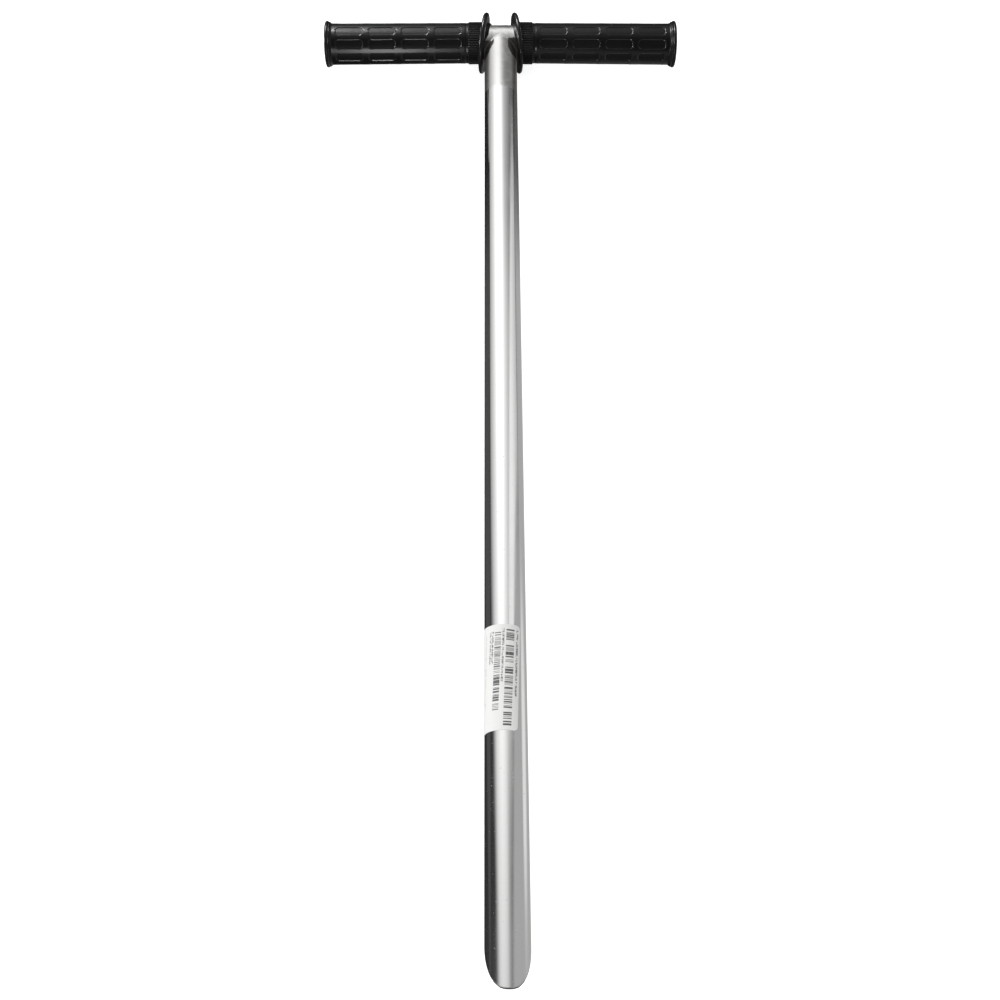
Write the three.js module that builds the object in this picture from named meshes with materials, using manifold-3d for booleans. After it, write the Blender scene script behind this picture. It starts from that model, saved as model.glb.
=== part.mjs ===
// A soil sampling probe: a stainless tube, cut open along its lower end and ground to a rounded
// tongue, welded under a handle bar of the same steel, with a moulded grip pushed on each half.
// Millimetres, +Z up. It lies as it is put down: the handle bar along X, the tube along Y with the
// tongue towards -Y, and the open side down. The origin is on the surface that it lies on, under
// the middle of its bounding box.

import * as THREE from "three";
import { mergeVertices, toCreasedNormals } from "three/addons/utils/BufferGeometryUtils.js";
import Module from "manifold-3d";

const wasm = await Module();
wasm.setup();

// Sampling tube
const TUBE_DIAMETER = 25;
const TUBE_WALL = 1.5;
const AXIS_TO_TIP = 717.2; // from the handle bar's axis to the end of the tongue
const TONGUE_RISE = 24; // length over which the slanting cut climbs one tube radius
const TONGUE_SHOULDER = 12; // length of the rounding between the slanting cut and the slot's edges
const SLOT_LENGTH = 200; // from the end of the tongue to the slot's upper end
const SLOT_EDGE_DROP = 2; // how far past the tube's axis the slot's edges lie
const SLOT_RUN_OUT = 24; // length of the rounded upper end of the slot
const BEVEL_LENGTH = 8; // ground inside bevel, measured along the tube
const BEVEL_LIP = 0.5; // wall left at the cutting edge

// Handle bar
const BAR_OVER_TUBE = 1.9; // how much wider the bar is than the tube that is coped onto it
const BAR_WALL = 1.5;

// Weld between the two
const WELD_FRONT_WIDTH = 3.4; // half width on the front and back of the tube
const WELD_FRONT_HEIGHT = 1.2;
const WELD_SIDE_REACH = 1.6; // at the sides, next to the grips
const SEAM_GAP = 0.3; // left between pieces that touch

// Moulded grips, from the flange at the tube outwards; heights are above the grip's body
const GRIP_BORE_CLEARANCE = 0.15; // on the radius
const GRIP_WALL = 1.25;
const FLANGE_CLEARANCE = 0.5; // from the flange's rim to the side of the tube
const FLANGE_HEIGHT = 8.05;
const FLANGE_BEAD_RADIUS = 1.8;
const FLANGE_WEB_FRONT = 0.8; // web faces, measured from the middle of the flange
const FLANGE_WEB_BACK = 0.9;
const FLANGE_STEP_HEIGHT = 2.95;
const FLANGE_STEP_LENGTH = 1.1;
const FLANGE_LEAN = THREE.MathUtils.degToRad(5.4); // the tube pushes its lower half outwards
const MOUTH_CHAMFER = 2; // leads the grip onto the bar and clears the weld
const FLANGE_TO_COLLAR = 2.8;
const COLLAR_LENGTH = 9.5;
const COLLAR_RIBS = 54;
const COLLAR_ROOT = 0.1; // height of the valleys between the ribs
const COLLAR_CREST = 0.6;
const NECK_LENGTH = 5.2; // plain band between the collar and the first windows
const NECK_GROOVE = 0.35;
const NECK_GROOVE_LENGTH = 1.2;
const PAD_COLUMNS = 4;
const PAD_ROWS = 9; // one of them faces down the tube
const PAD_LENGTH = 21.4;
const PAD_GAP = 4.1; // between one column of windows and the next
const PAD_ANGLE = THREE.MathUtils.degToRad(28);
const PAD_CORNER = 2.8;
const PAD_DEPTH = 0.5;
const END_BAND = 4.3; // plain band between the last windows and the end ring
const END_RING_HEIGHT = 2.35;
const END_RING_RADIUS = 1.3;
const END_RING_LENGTH = 4.3;
const END_FILLET = 1.6;
const GRIP_END_WALL = 3;

// Paper sticker on the closed side of the tube
const LABEL_LENGTH = 66;
const LABEL_WIDTH = 28; // round the tube
const LABEL_THICKNESS = 0.2;
const LABEL_CORNER = 2.5;
const LABEL_TO_TIP = 174.2; // from the middle of the sticker
const LABEL_TURN = THREE.MathUtils.degToRad(-27); // of its middle, from the top of the tube
const LABEL_SKEW = THREE.MathUtils.degToRad(-2.5);

// Facets
const ROUND_SEGMENTS = 48;
const GRIP_SEGMENTS = 4 * PAD_ROWS;
const ARC_STEPS = 3;
const WELD_SIDES = 10;
const LABEL_STEPS = 14;
const BEYOND = 2; // how far a cutting shape runs past what it cuts
const MERGE_DISTANCE = 1e-4;
const CREASE = THREE.MathUtils.degToRad(32);

// Worked out from the sizes above; places on the grip are distances from the tube's axis
const tubeRadius = TUBE_DIAMETER / 2;
const barRadius = (TUBE_DIAMETER + BAR_OVER_TUBE) / 2;
const tip = -AXIS_TO_TIP;
const boreRadius = barRadius + GRIP_BORE_CLEARANCE;
const bodyRadius = boreRadius + GRIP_WALL;
const flangeRadius = bodyRadius + FLANGE_HEIGHT;
const flangeRim = flangeRadius - FLANGE_BEAD_RADIUS;
const flangeSpread = flangeRim * Math.tan(FLANGE_LEAN);
const flangePlace = tubeRadius + FLANGE_CLEARANCE + FLANGE_BEAD_RADIUS - flangeSpread;
const collarStart = flangePlace + FLANGE_TO_COLLAR;
const collarEnd = collarStart + COLLAR_LENGTH;
const padStart = collarEnd + NECK_LENGTH;
const padPitch = PAD_LENGTH + PAD_GAP;
const gripEnd = padStart + PAD_COLUMNS * padPitch - PAD_GAP + END_BAND + END_RING_LENGTH;

const steel = new THREE.MeshStandardMaterial({ color: 0xc6c8c9, roughness: 0.22, metalness: 1 });
const weldMetal = new THREE.MeshStandardMaterial({ color: 0xb3b2ae, roughness: 0.45, metalness: 1 });
const gripRubber = new THREE.MeshStandardMaterial({ color: 0x17181a, roughness: 0.55, metalness: 0 });
const labelPaper = new THREE.MeshStandardMaterial({ color: 0xf1f1ee, roughness: 0.85, metalness: 0 });

// A geometry as a solid that can be cut and joined.
function solidOf(geometry) {
  const bare = geometry.clone();
  for (const name of Object.keys(bare.attributes)) {
    if (name !== "position") bare.deleteAttribute(name);
  }
  const merged = mergeVertices(bare, MERGE_DISTANCE);
  const mesh = new wasm.Mesh({
    numProp: 3,
    vertProperties: merged.attributes.position.array,
    triVerts: new Uint32Array(merged.index.array),
  });
  return new wasm.Manifold(mesh);
}

// A solid back as a geometry, with its sharp edges kept sharp.
function geometryOf(solid) {
  const mesh = solid.getMesh();
  const geometry = new THREE.BufferGeometry();
  geometry.setAttribute("position", new THREE.BufferAttribute(mesh.vertProperties, 3));
  geometry.setIndex(new THREE.BufferAttribute(mesh.triVerts, 1));
  return toCreasedNormals(geometry, CREASE);
}

function pieceOf(name, geometry, material) {
  const piece = new THREE.Mesh(geometry, material);
  piece.name = name;
  return piece;
}

// A tube along Y from one place to another.
function tubeAlongY(outer, inner, from, to) {
  const profile = [
    new THREE.Vector2(inner, from),
    new THREE.Vector2(outer, from),
    new THREE.Vector2(outer, to),
    new THREE.Vector2(inner, to),
    new THREE.Vector2(inner, from),
  ];
  return new THREE.LatheGeometry(profile, ROUND_SEGMENTS);
}

// A solid rod along X, centred on the origin.
function rodAlongX(radius, length) {
  return new THREE.CylinderGeometry(radius, radius, length, ROUND_SEGMENTS).rotateZ(-Math.PI / 2);
}

// The side view of what is cut away below: the slanting cut of the tongue, the slot's straight
// edges and its rounded upper end. The outline's x runs along the tube and its y is height.
function cutAwayOutline() {
  const slope = TONGUE_RISE / tubeRadius;
  const top = tubeRadius + BEYOND;
  const bottom = -tubeRadius - BEYOND;
  const corner = tip + slope * (tubeRadius + SLOT_EDGE_DROP);
  const slotEnd = tip + SLOT_LENGTH;
  const shoulderDrop = TONGUE_SHOULDER / 2 / slope;
  const outline = new THREE.Shape();
  outline.moveTo(tip - slope * BEYOND, top);
  outline.lineTo(corner - TONGUE_SHOULDER / 2, shoulderDrop - SLOT_EDGE_DROP);
  outline.quadraticCurveTo(corner, -SLOT_EDGE_DROP, corner + TONGUE_SHOULDER, -SLOT_EDGE_DROP);
  outline.absellipse(
    slotEnd - SLOT_RUN_OUT,
    -tubeRadius,
    SLOT_RUN_OUT,
    tubeRadius - SLOT_EDGE_DROP,
    Math.PI / 2,
    0,
    true,
  );
  outline.lineTo(slotEnd, bottom);
  outline.lineTo(tip - slope * BEYOND, bottom);
  return outline;
}

function cutAway() {
  const width = TUBE_DIAMETER + 2 * BEYOND;
  const geometry = new THREE.ExtrudeGeometry(cutAwayOutline(), {
    depth: width,
    bevelEnabled: false,
    curveSegments: 3 * ARC_STEPS,
  });
  const acrossTube = new THREE.Matrix4().makeBasis(
    new THREE.Vector3(0, 1, 0),
    new THREE.Vector3(0, 0, 1),
    new THREE.Vector3(1, 0, 0),
  );
  return geometry.translate(0, 0, -width / 2).applyMatrix4(acrossTube);
}

// The inside bevel: a cone that opens towards the cutting edge, sheared along the tube so that
// its mouth lies in the slanting cut.
function insideBevel() {
  const slope = TONGUE_RISE / tubeRadius;
  const bore = tubeRadius - TUBE_WALL;
  const mouth = tubeRadius - BEVEL_LIP;
  const profile = [
    new THREE.Vector2(0, -BEYOND),
    new THREE.Vector2(mouth, -BEYOND),
    new THREE.Vector2(mouth, 0),
    new THREE.Vector2(bore - BEVEL_LIP, BEVEL_LENGTH),
    new THREE.Vector2(0, BEVEL_LENGTH),
  ];
  const leanBack = new THREE.Matrix4().makeShear(0, 0, 0, 0, 0, -slope);
  const cone = new THREE.LatheGeometry(profile, ROUND_SEGMENTS);
  return cone.applyMatrix4(leanBack).translate(0, tip + TONGUE_RISE, 0);
}

function makeTube() {
  const bore = tubeRadius - TUBE_WALL;
  const cope = rodAlongX(barRadius + SEAM_GAP, TUBE_DIAMETER + 2 * BEYOND);
  const solid = solidOf(tubeAlongY(tubeRadius, bore, tip - BEYOND, 0))
    .subtract(solidOf(cope))
    .subtract(solidOf(cutAway()))
    .subtract(solidOf(insideBevel()));
  return pieceOf("sampling_tube", geometryOf(solid), steel);
}

function makeBar() {
  const reach = gripEnd - GRIP_END_WALL - SEAM_GAP;
  const tube = tubeAlongY(barRadius, barRadius - BAR_WALL, -reach, reach);
  return pieceOf("handle_bar", tube.rotateZ(-Math.PI / 2), steel);
}

// The line where the tube meets the bar; place runs once round the tube, from its top.
function seamPoint(place) {
  const height = tubeRadius * Math.cos(place);
  const depth = Math.sqrt(barRadius ** 2 - height ** 2);
  return new THREE.Vector3(tubeRadius * Math.sin(place), -depth, height);
}

// One point of the weld bead: turn runs once round the bead, whose section is an ellipse over
// the seam.
function weldPoint(place, turn) {
  const onSeam = seamPoint(place);
  const fromTube = new THREE.Vector3(Math.sin(place), 0, Math.cos(place));
  const fromBar = new THREE.Vector3(0, onSeam.y, onSeam.z).normalize();
  const outward = fromTube.add(fromBar).normalize();
  const step = Math.PI / ROUND_SEGMENTS;
  const along = seamPoint(place + step).sub(seamPoint(place - step)).normalize();
  const sideways = new THREE.Vector3().crossVectors(along, outward).normalize();
  const frontShare = Math.cos(place) ** 2;
  const halfWidth = THREE.MathUtils.lerp(WELD_SIDE_REACH, WELD_FRONT_WIDTH, frontShare);
  const halfHeight = THREE.MathUtils.lerp(WELD_SIDE_REACH, WELD_FRONT_HEIGHT, frontShare);
  return onSeam
    .addScaledVector(outward, halfHeight * Math.cos(turn))
    .addScaledVector(sideways, halfWidth * Math.sin(turn));
}

function weldBead() {
  const positions = [];
  const index = [];
  for (let i = 0; i < ROUND_SEGMENTS; i++) {
    for (let j = 0; j < WELD_SIDES; j++) {
      const place = (2 * Math.PI * i) / ROUND_SEGMENTS;
      const turn = (2 * Math.PI * j) / WELD_SIDES;
      positions.push(...weldPoint(place, turn));
      const nextRing = ((i + 1) % ROUND_SEGMENTS) * WELD_SIDES;
      const ring = i * WELD_SIDES;
      const nextSide = (j + 1) % WELD_SIDES;
      index.push(ring + j, nextRing + nextSide, nextRing + j);
      index.push(ring + j, ring + nextSide, nextRing + nextSide);
    }
  }
  const geometry = new THREE.BufferGeometry();
  geometry.setAttribute("position", new THREE.Float32BufferAttribute(positions, 3));
  return geometry.setIndex(index);
}

function makeWeld() {
  const reach = 4 * barRadius;
  const tube = tubeAlongY(tubeRadius + SEAM_GAP, BAR_WALL, -reach, reach);
  const bar = rodAlongX(barRadius + SEAM_GAP, reach);
  const solid = solidOf(weldBead()).subtract(solidOf(tube)).subtract(solidOf(bar));
  return pieceOf("saddle_weld", geometryOf(solid), weldMetal);
}

// The grip's outline, turned round the bar: x is the radius and y the distance from the tube's
// axis. It runs from the middle of the closed end to the middle of the flange's front face.
function gripOutline() {
  const webFront = flangePlace - FLANGE_WEB_FRONT;
  const webBack = flangePlace + FLANGE_WEB_BACK;
  const stepRadius = bodyRadius + FLANGE_STEP_HEIGHT;
  const beadFront = -Math.asin(FLANGE_WEB_FRONT / FLANGE_BEAD_RADIUS);
  const beadBack = Math.asin(FLANGE_WEB_BACK / FLANGE_BEAD_RADIUS);
  const endRing = bodyRadius + END_RING_HEIGHT - END_RING_RADIUS;
  const ringBack = gripEnd - END_RING_LENGTH + END_RING_RADIUS;
  const outline = new THREE.Path();
  outline.moveTo(0, gripEnd);
  outline.lineTo(endRing - END_RING_RADIUS, gripEnd);
  outline.quadraticCurveTo(endRing + END_RING_RADIUS / 2, gripEnd, endRing + END_RING_RADIUS / 2,
    ringBack + END_RING_RADIUS);
  outline.absarc(endRing, ringBack, END_RING_RADIUS, Math.PI / 3, -Math.PI / 3, true);
  outline.lineTo(bodyRadius + END_RING_HEIGHT / 4, gripEnd - END_RING_LENGTH);
  outline.lineTo(bodyRadius, gripEnd - END_RING_LENGTH - END_FILLET);
  outline.lineTo(bodyRadius, collarEnd + 2 * NECK_GROOVE_LENGTH);
  outline.quadraticCurveTo(bodyRadius - NECK_GROOVE, collarEnd + NECK_GROOVE_LENGTH / 2, bodyRadius,
    collarEnd);
  outline.lineTo(bodyRadius, collarStart);
  outline.quadraticCurveTo(bodyRadius, webBack + FLANGE_STEP_LENGTH, stepRadius,
    webBack + FLANGE_STEP_LENGTH);
  outline.quadraticCurveTo(stepRadius + FLANGE_STEP_LENGTH, webBack + FLANGE_STEP_LENGTH,
    stepRadius + FLANGE_STEP_LENGTH, webBack);
  outline.absarc(flangeRim, flangePlace, FLANGE_BEAD_RADIUS, Math.PI - beadBack,
    Math.PI - beadFront, true);
  outline.lineTo(boreRadius + MOUTH_CHAMFER, webFront);
  outline.lineTo(0, webFront);
  return outline;
}

// The ribbed collar as a toothed slab that is joined to the turned body.
function collarRibs() {
  const inside = bodyRadius - GRIP_WALL / 2;
  const valley = bodyRadius + COLLAR_ROOT;
  const crest = bodyRadius + COLLAR_CREST;
  const pitch = (2 * Math.PI) / COLLAR_RIBS;
  const points = [];
  for (let i = 0; i < COLLAR_RIBS; i++) {
    points.push(new THREE.Vector2(valley, 0).rotateAround(new THREE.Vector2(), i * pitch));
    points.push(new THREE.Vector2(crest, 0).rotateAround(new THREE.Vector2(), (i + 0.35) * pitch));
    points.push(new THREE.Vector2(crest, 0).rotateAround(new THREE.Vector2(), (i + 0.65) * pitch));
  }
  const outline = new THREE.Shape(points);
  outline.holes.push(new THREE.Path().absarc(0, 0, inside, 0, 2 * Math.PI, true));
  const slab = new THREE.ExtrudeGeometry(outline, {
    depth: COLLAR_LENGTH,
    bevelEnabled: false,
    curveSegments: GRIP_SEGMENTS / 2,
  });
  return slab.rotateX(-Math.PI / 2).translate(0, collarStart, 0);
}

// One of the shallow windows in the grip's body, before its floor is rounded to the body.
function padBlock() {
  const halfWidth = (PAD_ANGLE * bodyRadius) / 2;
  const side = halfWidth - PAD_CORNER;
  const far = PAD_LENGTH - PAD_CORNER;
  const outline = new THREE.Shape();
  outline.absarc(side, PAD_CORNER, PAD_CORNER, -Math.PI / 2, 0, false);
  outline.absarc(side, far, PAD_CORNER, 0, Math.PI / 2, false);
  outline.absarc(-side, far, PAD_CORNER, Math.PI / 2, Math.PI, false);
  outline.absarc(-side, PAD_CORNER, PAD_CORNER, Math.PI, 1.5 * Math.PI, false);
  const block = new THREE.ExtrudeGeometry(outline, {
    depth: GRIP_WALL + BEYOND,
    bevelEnabled: false,
    curveSegments: 1,
  });
  return block.translate(0, 0, bodyRadius - GRIP_WALL);
}

function padWindows() {
  const blocks = [];
  for (let column = 0; column < PAD_COLUMNS; column++) {
    for (let row = 0; row < PAD_ROWS; row++) {
      const turn = Math.PI / 2 + (2 * Math.PI * row) / PAD_ROWS;
      const block = padBlock().translate(0, padStart + column * padPitch, 0);
      blocks.push(solidOf(block.rotateY(turn)));
    }
  }
  const floor = bodyRadius - PAD_DEPTH;
  const core = new THREE.CylinderGeometry(floor, floor, 2 * gripEnd, GRIP_SEGMENTS);
  return wasm.Manifold.union(blocks).subtract(solidOf(core));
}

// The bore, closed at the outer end and opened out at the flange.
function gripBore() {
  const mouth = flangePlace - FLANGE_WEB_FRONT;
  const end = gripEnd - GRIP_END_WALL;
  const profile = [
    new THREE.Vector2(0, -BEYOND),
    new THREE.Vector2(boreRadius + MOUTH_CHAMFER + BEYOND, mouth - BEYOND),
    new THREE.Vector2(boreRadius, mouth + MOUTH_CHAMFER),
    new THREE.Vector2(boreRadius, end),
    new THREE.Vector2(0, end),
  ];
  return new THREE.LatheGeometry(profile, GRIP_SEGMENTS);
}

// The flange leans because the tube pushes its lower half outwards, and the collar follows it
// until the body begins.
function leanFlange(geometry) {
  const points = geometry.getAttribute("position");
  for (let i = 0; i < points.count; i++) {
    const along = points.getX(i);
    const follow = 1 - THREE.MathUtils.smoothstep(along, collarStart - BEYOND, collarEnd);
    points.setX(i, along - follow * points.getY(i) * Math.tan(FLANGE_LEAN));
  }
  geometry.computeVertexNormals();
  return geometry;
}

function gripGeometry() {
  const profile = gripOutline().getPoints(ARC_STEPS).reverse();
  const turned = new THREE.LatheGeometry(profile, GRIP_SEGMENTS);
  const solid = solidOf(turned)
    .add(solidOf(collarRibs()))
    .subtract(padWindows())
    .subtract(solidOf(gripBore()));
  const outwards = geometryOf(solid).rotateZ(-Math.PI / 2);
  return leanFlange(outwards);
}

function makeGrips() {
  const geometry = gripGeometry();
  const right = pieceOf("right_grip", geometry, gripRubber);
  const left = pieceOf("left_grip", geometry, gripRubber);
  left.rotation.y = Math.PI;
  return [left, right];
}

// A point of the sticker, given on the flat paper, wrapped round the tube.
function labelPoint(across, along, radius) {
  const flat = new THREE.Vector2(across, along).rotateAround(new THREE.Vector2(), LABEL_SKEW);
  const angle = LABEL_TURN + flat.x / tubeRadius;
  const place = flat.y + tip + LABEL_TO_TIP;
  return new THREE.Vector3(radius * Math.sin(angle), place, radius * Math.cos(angle));
}

// How far the sticker's rounded corner lies in from its end, at a distance across the paper.
function cornerInset(across) {
  const reach = Math.abs(across) - (LABEL_WIDTH / 2 - LABEL_CORNER);
  if (reach <= 0) return 0;
  return LABEL_CORNER - Math.sqrt(Math.max(0, LABEL_CORNER ** 2 - reach ** 2));
}

// Where the sticker's rows lie across the paper: closer together in the rounded corners.
function labelRows() {
  const rows = [];
  const edge = LABEL_WIDTH / 2;
  for (let i = 0; i < ARC_STEPS; i++) {
    rows.push(-edge + LABEL_CORNER * (1 - Math.cos((Math.PI / 2) * (i / ARC_STEPS))));
  }
  for (let i = 0; i <= LABEL_STEPS; i++) {
    rows.push((edge - LABEL_CORNER) * ((2 * i) / LABEL_STEPS - 1));
  }
  for (let i = ARC_STEPS - 1; i >= 0; i--) {
    rows.push(edge - LABEL_CORNER * (1 - Math.cos((Math.PI / 2) * (i / ARC_STEPS))));
  }
  return rows;
}

function makeLabel() {
  const inner = tubeRadius + SEAM_GAP;
  const outer = inner + LABEL_THICKNESS;
  const positions = [];
  const index = [];
  const rows = labelRows();
  rows.forEach((across, i) => {
    const end = LABEL_LENGTH / 2 - cornerInset(across);
    positions.push(...labelPoint(across, -end, inner), ...labelPoint(across, end, inner));
    positions.push(...labelPoint(across, end, outer), ...labelPoint(across, -end, outer));
    if (i === 0) return;
    const here = 4 * i;
    for (let side = 0; side < 4; side++) {
      const next = (side + 1) % 4;
      index.push(here - 4 + side, here - 4 + next, here + next);
      index.push(here - 4 + side, here + next, here + side);
    }
  });
  const last = 4 * (rows.length - 1);
  index.push(0, 2, 1, 0, 3, 2);
  index.push(last, last + 1, last + 2, last, last + 2, last + 3);
  const geometry = new THREE.BufferGeometry();
  geometry.setAttribute("position", new THREE.Float32BufferAttribute(positions, 3));
  geometry.setIndex(index);
  return pieceOf("paper_label", toCreasedNormals(geometry, CREASE), labelPaper);
}

// The tilt that brings a point of the tube down to the level of the flanges' rims. The point is
// given by its distance from the handle bar's axis and its depth below the tube's axis.
function tiltOnto(reach, depth) {
  return Math.asin(flangeRadius / Math.hypot(reach, depth)) - Math.atan2(depth, reach);
}

// The probe lies on its two flanges and on the underside of the tube just above the slot, or on
// the slot's edges next to the tongue where those come down first.
function restingTilt() {
  const slope = TONGUE_RISE / tubeRadius;
  const edgeStart = AXIS_TO_TIP - slope * (tubeRadius + SLOT_EDGE_DROP) - TONGUE_SHOULDER;
  return Math.min(
    tiltOnto(AXIS_TO_TIP - SLOT_LENGTH, tubeRadius),
    tiltOnto(edgeStart, SLOT_EDGE_DROP),
  );
}

const probe = new THREE.Group();
probe.add(makeTube(), makeBar(), makeWeld(), ...makeGrips(), makeLabel());
probe.rotation.x = restingTilt();

const part = new THREE.Group();
part.add(probe);
const box = new THREE.Box3().setFromObject(part, true);
const middle = box.getCenter(new THREE.Vector3());
probe.position.set(-middle.x, -middle.y, -box.min.z);

export default part;
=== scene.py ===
"""The soil sampling probe as it looks: steel, weld, moulded grips, sticker, studio and camera."""

import logging
import math
from collections.abc import Callable
from dataclasses import dataclass
from enum import Enum
from typing import Any

import bmesh
import bpy
import numpy as np
from mathutils import Matrix, Vector

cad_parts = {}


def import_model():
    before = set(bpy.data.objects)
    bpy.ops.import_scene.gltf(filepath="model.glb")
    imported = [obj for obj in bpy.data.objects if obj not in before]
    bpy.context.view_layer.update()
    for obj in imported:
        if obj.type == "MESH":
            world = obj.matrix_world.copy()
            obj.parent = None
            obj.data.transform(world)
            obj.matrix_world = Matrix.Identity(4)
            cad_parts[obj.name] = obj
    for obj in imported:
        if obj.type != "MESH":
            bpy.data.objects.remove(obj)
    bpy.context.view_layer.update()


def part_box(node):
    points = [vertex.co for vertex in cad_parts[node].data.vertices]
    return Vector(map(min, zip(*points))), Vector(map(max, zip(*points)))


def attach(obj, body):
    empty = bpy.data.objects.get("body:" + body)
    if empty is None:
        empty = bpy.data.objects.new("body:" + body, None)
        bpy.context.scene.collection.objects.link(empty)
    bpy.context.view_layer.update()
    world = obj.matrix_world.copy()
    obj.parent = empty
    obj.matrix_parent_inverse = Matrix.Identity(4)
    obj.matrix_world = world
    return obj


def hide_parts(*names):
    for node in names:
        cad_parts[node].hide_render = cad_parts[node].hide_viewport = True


log = logging.getLogger("probe")

MM = 0.001
BODY = "root"
MERGE_DISTANCE = 2e-6
SURFACE_MAP = "surface"
SHAPE_MARK = "shape_mark"


class Side(Enum):
    """Which half of the handle bar a grip sits on."""

    LEFT = -1
    RIGHT = 1


# Places on the probe


@dataclass(frozen=True)
class ProbeFrame:
    """Where the probe's own axes lie: origin on the handle bar's axis, +Y away from the tongue.

    Attributes:
        tilt: Angle in radians by which the tongue hangs down.
        origin: Middle of the handle bar in the row frame, in metres.
    """

    tilt: float
    origin: Vector

    @classmethod
    def from_cad(cls, axis_to_slot: float, tube_radius: float) -> "ProbeFrame":
        """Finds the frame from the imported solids.

        Args:
            axis_to_slot: Distance from the handle bar's axis to the slot's upper end, in mm.
            tube_radius: Outer radius of the sampling tube, in mm.

        Returns:
            The frame that the CAD model lies in.
        """
        low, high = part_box("handle_bar")
        middle = (low + high) / 2
        reach = math.hypot(axis_to_slot, tube_radius)
        tilt = math.asin(middle.z / MM / reach) - math.atan2(tube_radius, axis_to_slot)
        return cls(tilt, middle)

    def matrix(self) -> Matrix:
        """Returns the matrix from probe axes in mm to the row frame in metres."""
        turn = Matrix.Rotation(self.tilt, 4, "X")
        return Matrix.Translation(self.origin) @ turn @ Matrix.Scale(MM, 4)


# Mesh helpers

Grid = np.ndarray
Faces = list[tuple[int, ...]]
Outline = list[tuple[float, float]]


def grid_faces(rows: int, columns: int, closed: bool) -> Faces:
    """Joins a grid of points with four-sided faces.

    Args:
        rows: Number of rings of points.
        columns: Number of points in each ring.
        closed: True if the last point of a ring joins the first.

    Returns:
        The faces as indices, row by row.
    """
    faces = []
    last = columns if closed else columns - 1
    for row in range(rows - 1):
        for column in range(last):
            after = (column + 1) % columns
            here = row * columns
            above = here + columns
            faces.append((here + column, here + after, above + after, above + column))
    return faces


def make_piece(
    name: str,
    points: Grid,
    faces: Faces,
    frame: ProbeFrame,
    sharp_degrees: float = 35.0,
    uv: Grid | None = None,
    marks: Grid | None = None,
) -> bpy.types.Object:
    """Makes a smooth-shaded mesh object from points given in probe axes.

    Args:
        name: Name of the piece.
        points: Points in mm, one row each.
        faces: Faces as indices into the points.
        frame: The probe's own axes.
        sharp_degrees: Edges that turn by more than this stay sharp.
        uv: A pair of map coordinates for each point, or None.
        marks: A share from 0 to 1 for each point, kept as the shape mark, or None.

    Returns:
        The new object, linked to the scene and riding on the probe's one body.
    """
    mesh = bpy.data.meshes.new(name)
    matrix = np.array(frame.matrix(), float)
    placed = points @ matrix[:3, :3].T + matrix[:3, 3]
    mesh.from_pydata(placed.tolist(), [], faces)
    if uv is not None:
        layer = mesh.uv_layers.new(name=SURFACE_MAP)
        corners = np.zeros(len(mesh.loops), np.int32)
        mesh.loops.foreach_get("vertex_index", corners)
        layer.uv.foreach_set("vector", uv[corners].astype(np.float32).ravel())
    if marks is not None:
        attribute = mesh.attributes.new(SHAPE_MARK, "FLOAT", "POINT")
        attribute.data.foreach_set("value", marks.astype(np.float32))
    merge_seams(mesh, MERGE_DISTANCE)
    mesh.shade_smooth()
    mesh.set_sharp_from_angle(angle=math.radians(sharp_degrees))
    piece = bpy.data.objects.new(name, mesh)
    bpy.context.scene.collection.objects.link(piece)
    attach(piece, BODY)
    return piece


def unit(vectors: Grid) -> Grid:
    """Returns vectors at length 1."""
    return vectors / np.linalg.norm(vectors, axis=1, keepdims=True)


def smoothstep(values: Grid, low: float, high: float) -> Grid:
    """Returns a smooth ramp from 0 at low to 1 at high."""
    share = np.clip((values - low) / (high - low), 0, 1)
    return share * share * (3 - 2 * share)


def merge_seams(mesh: bpy.types.Mesh, distance: float) -> None:
    """Joins points that lie on each other, so that patches of a surface meet without a gap.

    Args:
        mesh: The mesh to mend.
        distance: How close two points have to be, in metres.
    """
    work = bmesh.new()
    work.from_mesh(mesh)
    bmesh.ops.remove_doubles(work, verts=work.verts, dist=distance)
    bmesh.ops.recalc_face_normals(work, faces=work.faces)
    work.to_mesh(mesh)
    work.free()


# Sampling tube


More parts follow.
